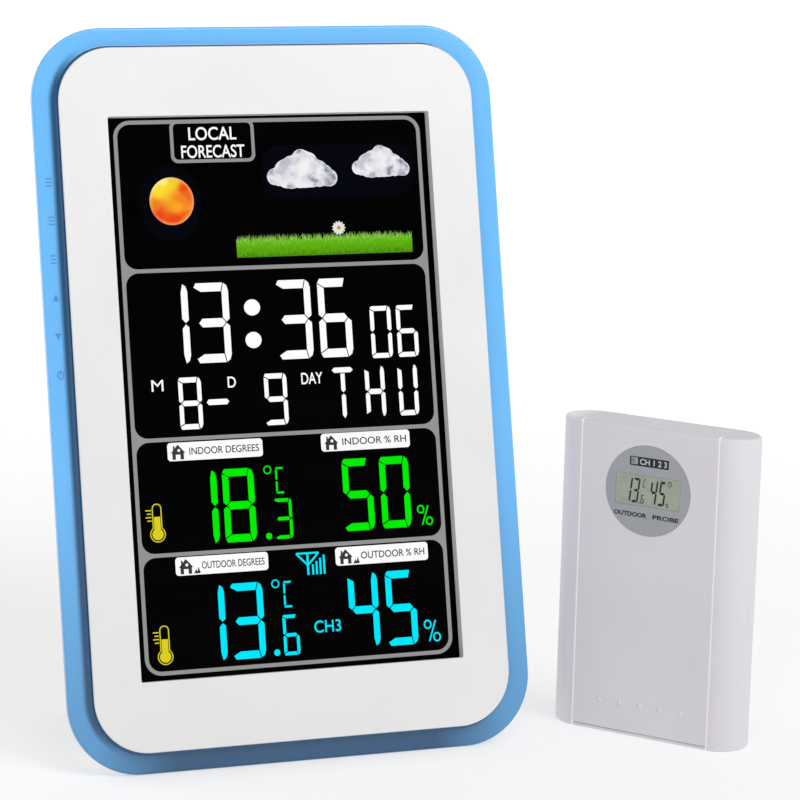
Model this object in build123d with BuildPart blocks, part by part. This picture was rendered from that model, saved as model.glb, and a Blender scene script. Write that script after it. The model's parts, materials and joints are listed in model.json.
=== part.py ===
"""Wireless home weather station: a colour display console and its remote outdoor sensor.

The console leans back on a hinged stand. The sensor stands beside it, turned towards the left.
Millimetres, +Z up, the desk is Z = 0, and the console looks along -Y.
"""
from build123d import *
from math import cos, radians, sin
import os

os.makedirs("parts", exist_ok=True)

# ---- driving dimensions: console ------------------------------------------------------------
LEAN = 15.4                 # the console leans back by this angle
RIM_W, RIM_H = 127.0, 195.0
RIM_R = 19.0
RIM_T = 2.5                 # thickness of the blue rim
STEP_TOP = 1.85             # height of the raised step that carries the white panel
STEP_BLEND = 0.9            # hollow blend between step and rim
PANEL_W, PANEL_H = 114.1, 183.9
PANEL_R = 14.5
PANEL_FRONT = 2.37          # front of the white panel above the rim
PANEL_SEAT = 0.4
WINDOW_W, WINDOW_H = 88.6, 147.4
GLASS_W, GLASS_H = 95.0, 154.0
GLASS_FRONT = -0.9
GLASS_T = 2.4
GUIDE_W, GUIDE_H, GUIDE_T = 92.0, 150.0, 2.9
FLEX_W = 40.0
COVER_DEPTH = 22.0          # back of the rear cover behind the rim's front
COVER_W, COVER_H, COVER_R = 120.0, 188.0, 16.0
COVER_TAPER = 3.5           # the cover narrows by this on each side towards the back
WALL = 2.0
MID = RIM_H / 2
HOLDER_W, HOLDER_H = 100.5, 160.5
HOLDER_BACK = -8.6
BOARD_FRONT = -9.4
BOARD_T = 1.6
BOARD_BACK = BOARD_FRONT - BOARD_T
BOARD_LOW, BOARD_HIGH = 106.0, 180.0
KEY_TOP = 154.7             # height of the top key
KEY_PITCH = 10.04
KEY_TRAVEL = 0.6
KEY_W = -7.4                # the keys sit this far behind the rim's front
KEYS = ["set", "history", "channel", "up", "down", "snooze"]
CELL_R, CELL_BODY, CELL_NUB = 5.25, 43.7, 0.8
CELL_ROWS = [73.2, 84.5, 95.8]
CELL_W = -14.8
CELL_END = 26.05            # tip of each cell's nub
BAY_HALF, BAY_LOW, BAY_HIGH = 26.5, 67.2, 101.8
BAY_FLOOR = -9.3
SCREW_ROWS = [11.5, 183.5]
SCREW_COLUMNS = [-44.0, 0.0, 44.0]
SEAT_DEPTH = -12.0          # the frame's screw posts meet the cover's columns at this depth
SCREW_SEAT = -14.5          # seat of the cover screws' heads
SCREW_HEAD_R, SCREW_SHANK_R = 2.5, 1.1
SCREW_HEAD_T = 1.9
SMALL_HEAD_R, SMALL_SHANK_R = 1.9, 0.8   # screws of the display holder
SMALL_HEAD_T = 1.2
EAR_BACK = -5.0             # back of the display holder's screw ears
SLOT_V, SLOT_LENGTH = 131.0, 64.0        # label slot along the left side of the step
SOCKET_V, SOCKET_DROP = 118.0, 3.2       # power socket's height, and its depth behind the board
SOCKET_BORE_R, SOCKET_PIN_R = 2.1, 0.7
WALL_HOLE_V, WALL_SLOT_V = 163.0, 168.0  # keyhole: its round entry and the middle of its slot
WALL_HOLE_R, WALL_SLOT_W, WALL_SLOT_H = 4.2, 4.0, 12.0
SOUNDER_U, SOUNDER_V = 30.0, 32.0
SOUNDER_R, SOUNDER_WALL = 11.0, 1.2
CLIMATE_U = -36.0           # column of the indoor climate sensor
HINGE_V, HINGE_W = 60.0, -25.0
HINGE_R = 2.7
PIN_R = 1.25
STAND_HALF = 51.5
STAND_T = 2.4
STAND_ANGLE = 20.0          # the open stand slopes back from upright by this angle
STAND_HEEL = 61.5           # Y of the back face of the heel
HEEL_H = 11.0
PLATE_TOP = 4.2             # the stand's plate starts this far below its hinge
PAD_LIFT = 0.5              # the rubber pads hold the heel clear of the desk
PAD_SIZE = (12.0, 4.2)
PAD_COLUMNS = [-38.0, 38.0]
KNUCKLE_COLUMNS, KNUCKLE_W = [-30.0, 30.0], 12.0
LUG_COLUMNS, LUG_W, LUG_R = [-38.5, -21.5, 21.5, 38.5], 4.0, 3.0
PIN_LENGTH = 21.0

# ---- driving dimensions: sensor -------------------------------------------------------------
SENSOR_X, SENSOR_Y = 92.2, -6.4
SENSOR_YAW = -48.4
SENSOR_H = 86.3
SENSOR_T = 16.2             # full-round sides, so this is also twice their radius
SENSOR_FLAT = 40.1          # width of the flat front between the two grooves
SENSOR_WALL = 1.4
ROOF_FALL = 3.0             # the roof falls to the back by this angle, to shed rain
SENSOR_SPLIT = 10.0         # depth of the seam between front and back shells
DISC_V, DISC_R = 69.0, 12.4
SENSOR_GLASS_V = 68.9
DOOR_HALF, DOOR_LOW, DOOR_HIGH = 16.0, 3.6, 62.4
SENSOR_BACK = -SENSOR_T
SENSOR_BOARD_FRONT, SENSOR_BOARD_BACK = -5.4, -6.6
SENSOR_SCREW_SEAT = -12.5
SENSOR_CELL_COLUMNS = [-6.2, 6.2]
SENSOR_CELL_W = -8.5
SENSOR_CELL_FOOT = 7.0
SENSOR_PLATE_TOP = 51.9     # top of the contact plates above the cells
TRAY_W, TRAY_H, TRAY_V = 25.4, 47.6, 28.7    # battery tray inside the back shell
DECK_H, DECK_V = 8.3, 56.65                  # deck above the tray, for switch and button
KNOB_U, BUTTON_U, DECK_ROW = -6.0, 6.5, 56.6
HOOK_V, HOOK_SLOT_V = 72.0, 75.5             # wall hook hole: its round entry and its slot

# ---- frames ---------------------------------------------------------------------------------
lean = radians(LEAN)
FOOT_LIFT = 0.3             # raises the rim so that its rear bottom edge meets the desk
FOOT_Y = -1.8               # brings the flat under the rim to Y = 0
FACE = Plane(origin=(0, FOOT_Y, FOOT_LIFT), x_dir=(1, 0, 0), z_dir=(0, -cos(lean), sin(lean)))
SIDE = Plane(origin=FACE.origin, x_dir=FACE.y_dir, z_dir=FACE.x_dir)
OUTWARD = Axis(FACE.origin, FACE.z_dir)
ACROSS = Axis((0, 0, 0), (1, 0, 0))
yaw = radians(SENSOR_YAW)
SENSOR_FACE = Plane(origin=(SENSOR_X, SENSOR_Y, 0), x_dir=(cos(yaw), sin(yaw), 0),
                    z_dir=(sin(yaw), -cos(yaw), 0))
SENSOR_PLAN = Plane(origin=SENSOR_FACE.origin, x_dir=SENSOR_FACE.x_dir, z_dir=(0, 0, 1))


def slab(base, low, high, size, at=((0, 0),), radius=0.0, mode=Mode.ADD):
    """A flat block on a plane between two heights, repeated at each point."""
    with BuildSketch(base.offset(low)) as outline:
        with Locations(*at):
            if radius:
                RectangleRounded(size[0], size[1], radius)
            else:
                Rectangle(size[0], size[1])
    extrude(outline.sketch, amount=high - low, mode=mode)


def peg(base, low, high, radius, at=((0, 0),), mode=Mode.ADD):
    """A round peg or hole on a plane between two heights, repeated at each point."""
    with BuildSketch(base.offset(low)) as outline:
        with Locations(*at):
            Circle(radius)
    extrude(outline.sketch, amount=high - low, mode=mode)


def save(builder, name):
    """Label a finished piece and write it as its own file."""
    builder.part.label = name
    export_step(builder.part, f"parts/{name}.step")


def cover_half(w, inset=0.0):
    """Half-width of the rear cover at a depth w behind the rim."""
    run = (-RIM_T - w) / (COVER_DEPTH - RIM_T)
    return COVER_W / 2 - COVER_TAPER * run - inset


screw_points = [(u, v) for v in SCREW_ROWS for u in SCREW_COLUMNS]
ear_points = [(u, v) for v in (13.6, 181.4) for u in (-25.0, 25.0)]
board_points = [(u, v) for v in (111.0, 172.0) for u in (-44.5, 44.5)]
key_rows = [KEY_TOP - KEY_PITCH * i for i in range(len(KEYS))]

# ---- blue frame: rim, raised step, pocket for the panel and rear screw bosses ----------------
with BuildPart() as blue_frame:
    slab(FACE, -RIM_T, 0, (RIM_W, RIM_H), [(0, MID)], RIM_R)
    fillet(blue_frame.edges().group_by(OUTWARD)[-1], radius=0.7)
    fillet(blue_frame.edges().group_by(OUTWARD)[0], radius=0.4)
    slab(FACE, -0.5, STEP_TOP, (PANEL_W, PANEL_H), [(0, MID)], PANEL_R)
    foot_of_step = [e for e in blue_frame.edges()
                    if abs(FACE.to_local_coords(e.center()).Z) < 0.01
                    and abs(FACE.to_local_coords(e.center()).X) < PANEL_W / 2 + 0.01
                    and abs(FACE.to_local_coords(e.center()).Y - MID) < PANEL_H / 2 + 0.01]
    fillet(foot_of_step, radius=STEP_BLEND)
    slab(FACE, PANEL_SEAT, STEP_TOP, (PANEL_W - 3, PANEL_H - 3), [(0, MID)], PANEL_R - 1.5, Mode.SUBTRACT)
    slab(FACE, -RIM_T, PANEL_SEAT, (WINDOW_W + 3, WINDOW_H + 3), [(0, MID)], 1, Mode.SUBTRACT)
    slab(FACE, -RIM_T, GLASS_FRONT + 0.1, (GLASS_W + 2, GLASS_H + 2), [(0, MID)], 1, Mode.SUBTRACT)
    # label slot along the left side of the step
    slab(FACE, 0.95, STEP_TOP - 0.1, (1.0, SLOT_LENGTH), [(-PANEL_W / 2, SLOT_V)], mode=Mode.SUBTRACT)
    peg(FACE, SEAT_DEPTH, -RIM_T, 3.0, screw_points)
    peg(FACE, SEAT_DEPTH, -3.5, SCREW_SHANK_R, screw_points, Mode.SUBTRACT)
    peg(FACE, -RIM_T, -0.8, SMALL_SHANK_R, ear_points, Mode.SUBTRACT)
    split(bisect_by=Plane.XY, keep=Keep.TOP)
save(blue_frame, "blue_frame")

# ---- white front panel with its window collar ------------------------------------------------
with BuildPart() as front_panel:
    slab(FACE, STEP_TOP, PANEL_FRONT, (PANEL_W, PANEL_H), [(0, MID)], PANEL_R)
    fillet(front_panel.edges().group_by(OUTWARD)[-1], radius=0.4)
    slab(FACE, PANEL_SEAT, STEP_TOP, (PANEL_W - 3.2, PANEL_H - 3.2), [(0, MID)], PANEL_R - 1.6)
    slab(FACE, GLASS_FRONT + 0.1, PANEL_SEAT, (WINDOW_W + 2.6, WINDOW_H + 2.6), [(0, MID)], 0.8)
    slab(FACE, GLASS_FRONT, PANEL_FRONT, (WINDOW_W, WINDOW_H), [(0, MID)], 0.5, Mode.SUBTRACT)
save(front_panel, "front_panel")

# ---- display stack ---------------------------------------------------------------------------
glass_back = GLASS_FRONT - GLASS_T
with BuildPart() as lcd_glass:
    slab(FACE, glass_back, GLASS_FRONT, (GLASS_W, GLASS_H), [(0, MID)])
save(lcd_glass, "lcd_glass")

guide_front = glass_back - 0.05
guide_back = guide_front - GUIDE_T
with BuildPart() as light_guide:
    slab(FACE, guide_back, guide_front, (GUIDE_W, GUIDE_H), [(0, MID)])
save(light_guide, "light_guide")

with BuildPart() as reflector_plate:
    slab(FACE, guide_back - 0.5, guide_back - 0.05, (GUIDE_W, GUIDE_H), [(0, MID)])
save(reflector_plate, "reflector_plate")

guide_foot = MID - GUIDE_H / 2
with BuildPart() as backlight_board:
    slab(FACE, guide_back, guide_front, (80, 0.8), [(0, guide_foot - 1.5)])
save(backlight_board, "backlight_board")

with BuildPart() as backlight_leds:
    led_points = [(12.0 * i, guide_foot - 0.6) for i in (-3, -2, -1, 0, 1, 2, 3)]
    slab(FACE, guide_back + 0.6, guide_front - 0.6, (3.4, 1.0), led_points)
save(backlight_leds, "backlight_leds")

holder_floor = guide_back - 0.55
with BuildPart() as lcd_holder:
    slab(FACE, HOLDER_BACK, -RIM_T, (HOLDER_W, HOLDER_H), [(0, MID)], 2)
    slab(FACE, holder_floor, -RIM_T, (GLASS_W + 0.4, GLASS_H + 0.4), [(0, MID)], mode=Mode.SUBTRACT)
    slab(FACE, HOLDER_BACK, holder_floor, (78, 128), [(0, MID)], 3, Mode.SUBTRACT)
    slab(FACE, EAR_BACK, -RIM_T, (7, 9.5), [(u, MID + (v - MID) * 0.985) for u, v in ear_points])
    peg(FACE, EAR_BACK, -RIM_T, 1.1, ear_points, Mode.SUBTRACT)
    slab(FACE, BOARD_FRONT, HOLDER_BACK, (7, 7), board_points, 1.5)
    peg(FACE, BOARD_FRONT, HOLDER_BACK + 1.6, 0.9, board_points, Mode.SUBTRACT)
    slab(FACE, -4.3, -RIM_T, (56, 5), [(0, MID + HOLDER_H / 2 - 1)], mode=Mode.SUBTRACT)
save(lcd_holder, "lcd_holder")

glass_top = MID + GLASS_H / 2
with BuildPart() as lcd_flex:
    bend = glass_top + 4.7
    flex_foot = glass_top - 1.4
    slab(FACE, glass_back - 0.25, glass_back - 0.05, (FLEX_W, bend - flex_foot),
         [(0, (bend + flex_foot) / 2)])
    slab(FACE, BOARD_FRONT + 0.05, glass_back - 0.05, (FLEX_W, 0.2), [(0, bend)])
    slab(FACE, BOARD_FRONT + 0.05, BOARD_FRONT + 0.25, (FLEX_W, 6.0), [(0, bend - 2.9)])
save(lcd_flex, "lcd_flex")

with BuildPart() as holder_screws:
    peg(FACE, EAR_BACK - SMALL_HEAD_T, EAR_BACK, SMALL_HEAD_R, ear_points)
    peg(FACE, EAR_BACK, -1.0, SMALL_SHANK_R, ear_points)
save(holder_screws, "holder_screws")

# ---- main board and what it carries ----------------------------------------------------------
board_mid = (BOARD_LOW + BOARD_HIGH) / 2
with BuildPart() as main_board:
    slab(FACE, BOARD_BACK, BOARD_FRONT, (99.6, BOARD_HIGH - BOARD_LOW), [(0, board_mid)], 1)
    slab(FACE, BOARD_BACK, BOARD_FRONT, (8, 64), [(-51.4, 129.6)], 1)
    peg(FACE, BOARD_BACK, BOARD_FRONT, 1.1, board_points, Mode.SUBTRACT)
save(main_board, "main_board")

with BuildPart() as board_screws:
    peg(FACE, BOARD_BACK - 1.4, BOARD_BACK, SMALL_HEAD_R, board_points)
    peg(FACE, BOARD_FRONT + 1.9, BOARD_BACK, 0.85, board_points)
save(board_screws, "board_screws")

with BuildPart() as main_board_chips:
    slab(FACE, BOARD_BACK - 1.6, BOARD_BACK, (14, 14), [(-12, 140), (14, 126)])
    slab(FACE, BOARD_BACK - 1.5, BOARD_BACK, (5, 4), [(-30, 150), (-30, 128), (2, 118)])
    slab(FACE, BOARD_BACK - 3.2, BOARD_BACK, (10, 3.6), [(-12, 155)], 1.7)
    peg(FACE, BOARD_BACK - 6.0, BOARD_BACK, 2.5, [(30, 112), (37, 112), (-36, 112)])
save(main_board_chips, "main_board_chips")

with BuildPart() as key_switches:
    slab(SIDE, -55.0, -51.0, (6.0, 3.7), [(v, KEY_W) for v in key_rows])
    peg(SIDE, -55.0, -53.4, 0.85, [(v, KEY_W) for v in key_rows], Mode.SUBTRACT)
save(key_switches, "key_switches")

socket_point = [(SOCKET_V, BOARD_BACK - SOCKET_DROP)]
with BuildPart() as power_socket:
    slab(SIDE, 43.0, 55.0, (9.0, 2 * SOCKET_DROP), socket_point)
    peg(SIDE, 45.0, 55.0, SOCKET_BORE_R, socket_point, Mode.SUBTRACT)
    peg(SIDE, 44.0, 54.0, SOCKET_PIN_R, socket_point)
save(power_socket, "power_socket")

with BuildPart() as receiver_board:
    slab(FACE, BOARD_BACK - 3.6, BOARD_BACK - 2.6, (34, 12), [(28, 168)])
    slab(FACE, BOARD_BACK - 2.6, BOARD_BACK, (20, 2.4), [(28, 173)])
    slab(FACE, BOARD_BACK - 5.6, BOARD_BACK - 3.6, (9, 8), [(24, 168)])
save(receiver_board, "receiver_board")

with BuildPart() as antenna_wire:
    antenna_w = BOARD_BACK - 4.6
    with BuildLine(FACE.offset(antenna_w)) as route:
        FilletPolyline((40, 168), (51, 168), (51, 125), radius=3)
    with BuildSketch(Plane(origin=route.line @ 0, z_dir=route.line % 0)) as wire:
        Circle(0.6)
    sweep(wire.sketch, path=route.line)
    slab(FACE, antenna_w - 0.6, antenna_w + 1.0, (2, 2), [(40, 168)])
save(antenna_wire, "antenna_wire")

# ---- side keys: cap, guide flange and nose that works the switch ------------------------------
for row, key in zip(key_rows, KEYS):
    with BuildPart() as side_key:
        slab(SIDE, -61.9, -56.3, (5.0, 3.0), [(row, KEY_W)], 0.9)
        fillet(side_key.edges().group_by(ACROSS)[0], radius=0.5)
        slab(SIDE, -56.4, -55.8, (6.2, 3.6), [(row, KEY_W)])
        peg(SIDE, -55.9, -54.2, 0.8, [(row, KEY_W)])
    save(side_key, f"key_{key}")

# ---- rear cover ------------------------------------------------------------------------------
bay_mid = (BAY_LOW + BAY_HIGH) / 2
bay_size = (2 * BAY_HALF, BAY_HIGH - BAY_LOW)
with BuildPart() as rear_cover:
    with BuildSketch(FACE.offset(-RIM_T)) as outer_front:
        with Locations((0, MID)):
            RectangleRounded(COVER_W, COVER_H, COVER_R)
    with BuildSketch(FACE.offset(-COVER_DEPTH)) as outer_back:
        with Locations((0, MID)):
            RectangleRounded(COVER_W - 2 * COVER_TAPER, COVER_H - 2 * COVER_TAPER, COVER_R - COVER_TAPER)
    loft([outer_front.sketch, outer_back.sketch])
    fillet(rear_cover.edges().group_by(OUTWARD)[0], radius=2.5)
    with BuildSketch(FACE.offset(-RIM_T)) as hollow_front:
        with Locations((0, MID)):
            RectangleRounded(COVER_W - 2 * WALL, COVER_H - 2 * WALL, COVER_R - WALL)
    with BuildSketch(FACE.offset(WALL - COVER_DEPTH)) as hollow_back:
        with Locations((0, MID)):
            RectangleRounded(2 * cover_half(WALL - COVER_DEPTH, WALL),
                             2 * cover_half(WALL - COVER_DEPTH, WALL) + COVER_H - COVER_W, 11)
    loft([hollow_front.sketch, hollow_back.sketch], mode=Mode.SUBTRACT)
    # battery bay with its own floor and walls
    slab(FACE, -COVER_DEPTH, BAY_FLOOR + 1.2, (bay_size[0] + 2.8, bay_size[1] + 2.8), [(0, bay_mid)])
    slab(FACE, -COVER_DEPTH, BAY_FLOOR, bay_size, [(0, bay_mid)], mode=Mode.SUBTRACT)
    slab(FACE, -COVER_DEPTH, -20.3, (bay_size[0] + 5.4, bay_size[1] + 5.4), [(0, bay_mid)], 2.5,
         Mode.SUBTRACT)
    # screw columns
    peg(FACE, -COVER_DEPTH, SEAT_DEPTH - 0.05, 3.6, screw_points)
    peg(FACE, -COVER_DEPTH, SCREW_SEAT, 2.75, screw_points, Mode.SUBTRACT)
    peg(FACE, SCREW_SEAT, SEAT_DEPTH - 0.05, 1.5, screw_points, Mode.SUBTRACT)
    # openings for the keys and the power plug
    slab(SIDE, -62.0, -55.5, (5.4, 3.4), [(v, KEY_W) for v in key_rows], 1.0, Mode.SUBTRACT)
    peg(SIDE, 53.0, 62.0, 3.6, socket_point, Mode.SUBTRACT)
    # keyhole for a wall screw
    peg(FACE, -COVER_DEPTH, WALL - COVER_DEPTH, WALL_HOLE_R, [(0, WALL_HOLE_V)], Mode.SUBTRACT)
    slab(FACE, -COVER_DEPTH, WALL - COVER_DEPTH, (WALL_SLOT_W, WALL_SLOT_H), [(0, WALL_SLOT_V)], 1.99,
         Mode.SUBTRACT)
    # air slots and sounder holes
    slab(FACE, -COVER_DEPTH, WALL - COVER_DEPTH, (1.6, 16.0), [(-46 + 4 * i, SOUNDER_V) for i in range(6)],
         0.79, Mode.SUBTRACT)
    with BuildSketch(FACE.offset(-COVER_DEPTH)) as sounder_holes:
        with Locations((SOUNDER_U, SOUNDER_V)):
            Circle(0.9)
            with PolarLocations(4.5, 6):
                Circle(0.9)
    extrude(sounder_holes.sketch, amount=WALL, mode=Mode.SUBTRACT)
    # hinge lugs for the stand
    slab(FACE, HINGE_W, WALL - COVER_DEPTH, (LUG_W, 2 * LUG_R), [(u, HINGE_V) for u in LUG_COLUMNS])
    for u in LUG_COLUMNS:
        peg(SIDE, u - LUG_W / 2, u + LUG_W / 2, LUG_R, [(HINGE_V, HINGE_W)])
        peg(SIDE, u - LUG_W / 2, u + LUG_W / 2, PIN_R, [(HINGE_V, HINGE_W)], Mode.SUBTRACT)
    # posts for the climate sensor's board
    peg(FACE, -COVER_DEPTH + 1, -17.0, 1.5, [(CLIMATE_U - 5, 42), (CLIMATE_U + 5, 42)])
save(rear_cover, "rear_cover")

with BuildPart() as cover_screws:
    head_top = SCREW_SEAT - SCREW_HEAD_T
    peg(FACE, head_top, SCREW_SEAT, SCREW_HEAD_R, screw_points)
    slab(FACE, head_top, head_top + 0.8, (3.2, 0.7), screw_points, mode=Mode.SUBTRACT)
    slab(FACE, head_top, head_top + 0.8, (0.7, 3.2), screw_points, mode=Mode.SUBTRACT)
    peg(FACE, SCREW_SEAT, -4.5, SCREW_SHANK_R, screw_points)
save(cover_screws, "cover_screws")

# ---- battery door with grip ribs and latch finger ----------------------------------------------
with BuildPart() as battery_door:
    slab(FACE, -COVER_DEPTH, -20.35, (bay_size[0] + 4.8, bay_size[1] + 4.8), [(0, bay_mid)], 2.2)
    fillet(battery_door.edges().group_by(OUTWARD)[0], radius=0.4)
    slab(FACE, -COVER_DEPTH - 0.5, -COVER_DEPTH, (16, 1.0), [(0, BAY_HIGH - 3 - 2.4 * i) for i in range(4)])
    slab(FACE, -20.4, -17.6, (12, 0.9), [(0, BAY_HIGH - 0.7)])
save(battery_door, "battery_door")

# ---- cells and contacts -------------------------------------------------------------------------
for number, row in enumerate(CELL_ROWS, start=1):
    with BuildPart() as cell:
        peg(SIDE, CELL_END - CELL_NUB - CELL_BODY, CELL_END - CELL_NUB, CELL_R, [(row, CELL_W)])
        fillet(cell.edges(), radius=0.4)
        peg(SIDE, CELL_END - CELL_NUB - 0.1, CELL_END, 1.9, [(row, CELL_W)])
    save(cell, f"console_cell_{number}")


def coil_spring(seat, radius, wire, pitch, height):
    """A round wire wound as a helix about the normal of its seat, from the seat's x side."""
    turns = Helix(pitch, height, radius).moved(seat.location)
    with BuildSketch(Plane(origin=turns @ 0, z_dir=turns % 0)) as section:
        Circle(wire)
    sweep(section.sketch, path=turns, is_frenet=True)


cell_back = CELL_END - CELL_NUB - CELL_BODY
with BuildPart() as contact_springs:
    slab(SIDE, -BAY_HALF, -BAY_HALF + 0.4, (9, 9), [(v, CELL_W) for v in CELL_ROWS])
    for row in CELL_ROWS:
        start = SIDE.from_local_coords((row, CELL_W, -BAY_HALF + 0.3))
        coil_seat = Plane(origin=start, x_dir=SIDE.x_dir, z_dir=SIDE.z_dir)
        coil_spring(coil_seat, 2.4, 0.35, 1.7, cell_back + BAY_HALF - 0.85)
save(contact_springs, "contact_springs")

with BuildPart() as contact_plates:
    slab(SIDE, BAY_HALF - 0.4, BAY_HALF, (9, 9), [(v, CELL_W) for v in CELL_ROWS])
save(contact_plates, "contact_plates")

# ---- sounder and indoor climate sensor ------------------------------------------------------------
with BuildPart() as sounder:
    sounder_bore = SOUNDER_R - SOUNDER_WALL
    peg(FACE, WALL - COVER_DEPTH, -14.8, SOUNDER_R, [(SOUNDER_U, SOUNDER_V)])
    peg(FACE, WALL - COVER_DEPTH, -16.0, sounder_bore, [(SOUNDER_U, SOUNDER_V)], Mode.SUBTRACT)
    peg(FACE, -16.5, -16.0, sounder_bore, [(SOUNDER_U, SOUNDER_V)])
save(sounder, "sounder")

with BuildPart() as climate_board:
    slab(FACE, -17.0, -16.0, (20, 16), [(CLIMATE_U, 36)])
    slab(FACE, -16.0, -13.5, (8, 3), [(CLIMATE_U, 42)])
save(climate_board, "climate_board")

with BuildPart() as humidity_element:
    slab(FACE, -19.4, -17.0, (9, 7), [(CLIMATE_U, 33)])
    slab(FACE, -19.4, -18.6, (1.2, 5), [(CLIMATE_U + 2 * i, 33) for i in (-1, 0, 1)], mode=Mode.SUBTRACT)
save(humidity_element, "humidity_element")

# ---- folding stand ---------------------------------------------------------------------------------
hinge = FACE.from_local_coords((0, HINGE_V, HINGE_W))
slope = radians(STAND_ANGLE)
down = Vector(0, sin(slope), -cos(slope))
front = Vector(0, -cos(slope), -sin(slope))
outer_drop = (hinge.Z - PAD_LIFT) / cos(slope)
inner_face = hinge + front * STAND_T
inner_foot = inner_face + down * ((inner_face.Z - PAD_LIFT) / cos(slope))
heel_join = hinge + down * (outer_drop - 20)
pad_points = [(x, STAND_HEEL - 3.6) for x in PAD_COLUMNS]


def flat_point(point):
    """The Y and Z of a point, for profiles drawn across the stand."""
    return (point.Y, point.Z)


with BuildPart() as stand:
    with BuildSketch(Plane.YZ.offset(-STAND_HALF)) as stand_profile:
        with BuildLine():
            Polyline(flat_point(hinge + down * PLATE_TOP), flat_point(inner_face + down * PLATE_TOP),
                     flat_point(inner_foot), (STAND_HEEL, PAD_LIFT), (STAND_HEEL, HEEL_H),
                     flat_point(heel_join), close=True)
        make_face()
    extrude(stand_profile.sketch, amount=2 * STAND_HALF)
    fillet(stand.edges().filter_by(Axis.Z), radius=3.0)
    # knuckles between the lugs
    for u in KNUCKLE_COLUMNS:
        with BuildSketch(Plane.YZ.offset(u - KNUCKLE_W / 2)) as knuckle:
            with BuildLine():
                Polyline(flat_point(hinge), flat_point(inner_face), flat_point(inner_face + down * 6),
                         flat_point(hinge + down * 6), close=True)
            make_face()
            with Locations(flat_point(hinge)):
                Circle(HINGE_R)
        extrude(knuckle.sketch, amount=KNUCKLE_W)
    for u in KNUCKLE_COLUMNS:
        peg(SIDE, u - KNUCKLE_W / 2, u + KNUCKLE_W / 2, PIN_R + 0.05, [(HINGE_V, HINGE_W)], Mode.SUBTRACT)
    slab(Plane.XY, PAD_LIFT - 0.1, PAD_LIFT + 0.6, PAD_SIZE, pad_points, mode=Mode.SUBTRACT)
save(stand, "stand")

with BuildPart() as stand_pads:
    slab(Plane.XY, 0, PAD_LIFT + 0.6, PAD_SIZE, pad_points)
save(stand_pads, "stand_pads")

with BuildPart() as stand_pins:
    for u in KNUCKLE_COLUMNS:
        peg(SIDE, u - PIN_LENGTH / 2, u + PIN_LENGTH / 2, PIN_R, [(HINGE_V, HINGE_W)])
save(stand_pins, "stand_pins")

# ======================= remote sensor ==========================================================
flat = SENSOR_FLAT
plan_centre = SENSOR_T / 2
sensor_length = flat + SENSOR_T


def sensor_body(inset, low, high, mode=Mode.ADD):
    """The sensor's round-sided outline, shrunk by inset, between two heights."""
    with BuildSketch(SENSOR_PLAN.offset(low)) as outline:
        with Locations((0, plan_centre)):
            SlotOverall(sensor_length - 2 * inset, SENSOR_T - 2 * inset)
    extrude(outline.sketch, amount=high - low, mode=mode)


def sensor_outside():
    """The whole outside of the sensor: round sides, a roof that falls to the back, soft edges."""
    sensor_body(0, 0, SENSOR_H)
    fall = radians(ROOF_FALL)
    roof = Plane(origin=SENSOR_FACE.from_local_coords((0, SENSOR_H, 0)), x_dir=SENSOR_FACE.x_dir,
                 z_dir=Vector(0, 0, cos(fall)) - SENSOR_FACE.z_dir * sin(fall))
    split(bisect_by=roof, keep=Keep.BOTTOM)
    body = BuildPart._get_context("sensor_outside")
    fillet(body.faces().sort_by(Axis.Z)[-1].edges(), radius=1.0)
    fillet(body.faces().sort_by(Axis.Z)[0].edges(), radius=0.5)
    sensor_body(SENSOR_WALL, SENSOR_WALL, SENSOR_H - SENSOR_WALL - 0.8, Mode.SUBTRACT)


SEAM = Plane(origin=SENSOR_FACE.offset(-SENSOR_SPLIT).origin, x_dir=SENSOR_FACE.x_dir,
             z_dir=SENSOR_FACE.z_dir)
sensor_screw_points = [(u, v) for v in (7.5, 79.0) for u in (-21.5, 21.5)]
with BuildPart() as sensor_front:
    sensor_outside()
    peg(SENSOR_FACE, -SENSOR_SPLIT, -1.0, 2.4, sensor_screw_points)
    peg(SENSOR_FACE, -SENSOR_SPLIT, -3.0, 0.9, sensor_screw_points, Mode.SUBTRACT)
    split(bisect_by=SEAM, keep=Keep.TOP)
    # grooves at the ends of the flat front, and a fine line above the base
    slab(SENSOR_FACE, -0.4, 0.5, (0.45, SENSOR_H), [(-flat / 2, SENSOR_H / 2), (flat / 2, SENSOR_H / 2)],
         mode=Mode.SUBTRACT)
    slab(SENSOR_FACE, -0.3, 0.5, (flat, 0.35), [(0, 1.0)], mode=Mode.SUBTRACT)
    # disc recess and glass opening
    peg(SENSOR_FACE, -0.5, 0.5, DISC_R + 0.05, [(0, DISC_V)], Mode.SUBTRACT)
    slab(SENSOR_FACE, -SENSOR_WALL, 0, (20.6, 10.6), [(0, SENSOR_GLASS_V)], mode=Mode.SUBTRACT)
    # five small pips above the base
    with Locations(*[SENSOR_FACE.from_local_coords((6.0 * i, 8.85, -0.35)) for i in (-2, -1, 0, 1, 2)]):
        Sphere(0.75)
save(sensor_front, "sensor_front")

with BuildPart() as sensor_disc:
    peg(SENSOR_FACE, -0.5, 0.05, DISC_R, [(0, DISC_V)])
    slab(SENSOR_FACE, -0.5, 0.05, (18.9, 8.5), [(0, SENSOR_GLASS_V)], mode=Mode.SUBTRACT)
save(sensor_disc, "sensor_disc")

with BuildPart() as sensor_glass:
    slab(SENSOR_FACE, -2.3, -0.5, (20.2, 10.2), [(0, SENSOR_GLASS_V)])
    # the front film fills the disc's window
    slab(SENSOR_FACE, -0.5, 0.0, (18.8, 8.4), [(0, SENSOR_GLASS_V)])
save(sensor_glass, "sensor_glass")

with BuildPart() as sensor_zebra_strip:
    slab(SENSOR_FACE, SENSOR_BOARD_FRONT, -2.3, (19.5, 2.0), [(0, SENSOR_GLASS_V - 4.0)])
save(sensor_zebra_strip, "sensor_zebra_strip")

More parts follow.
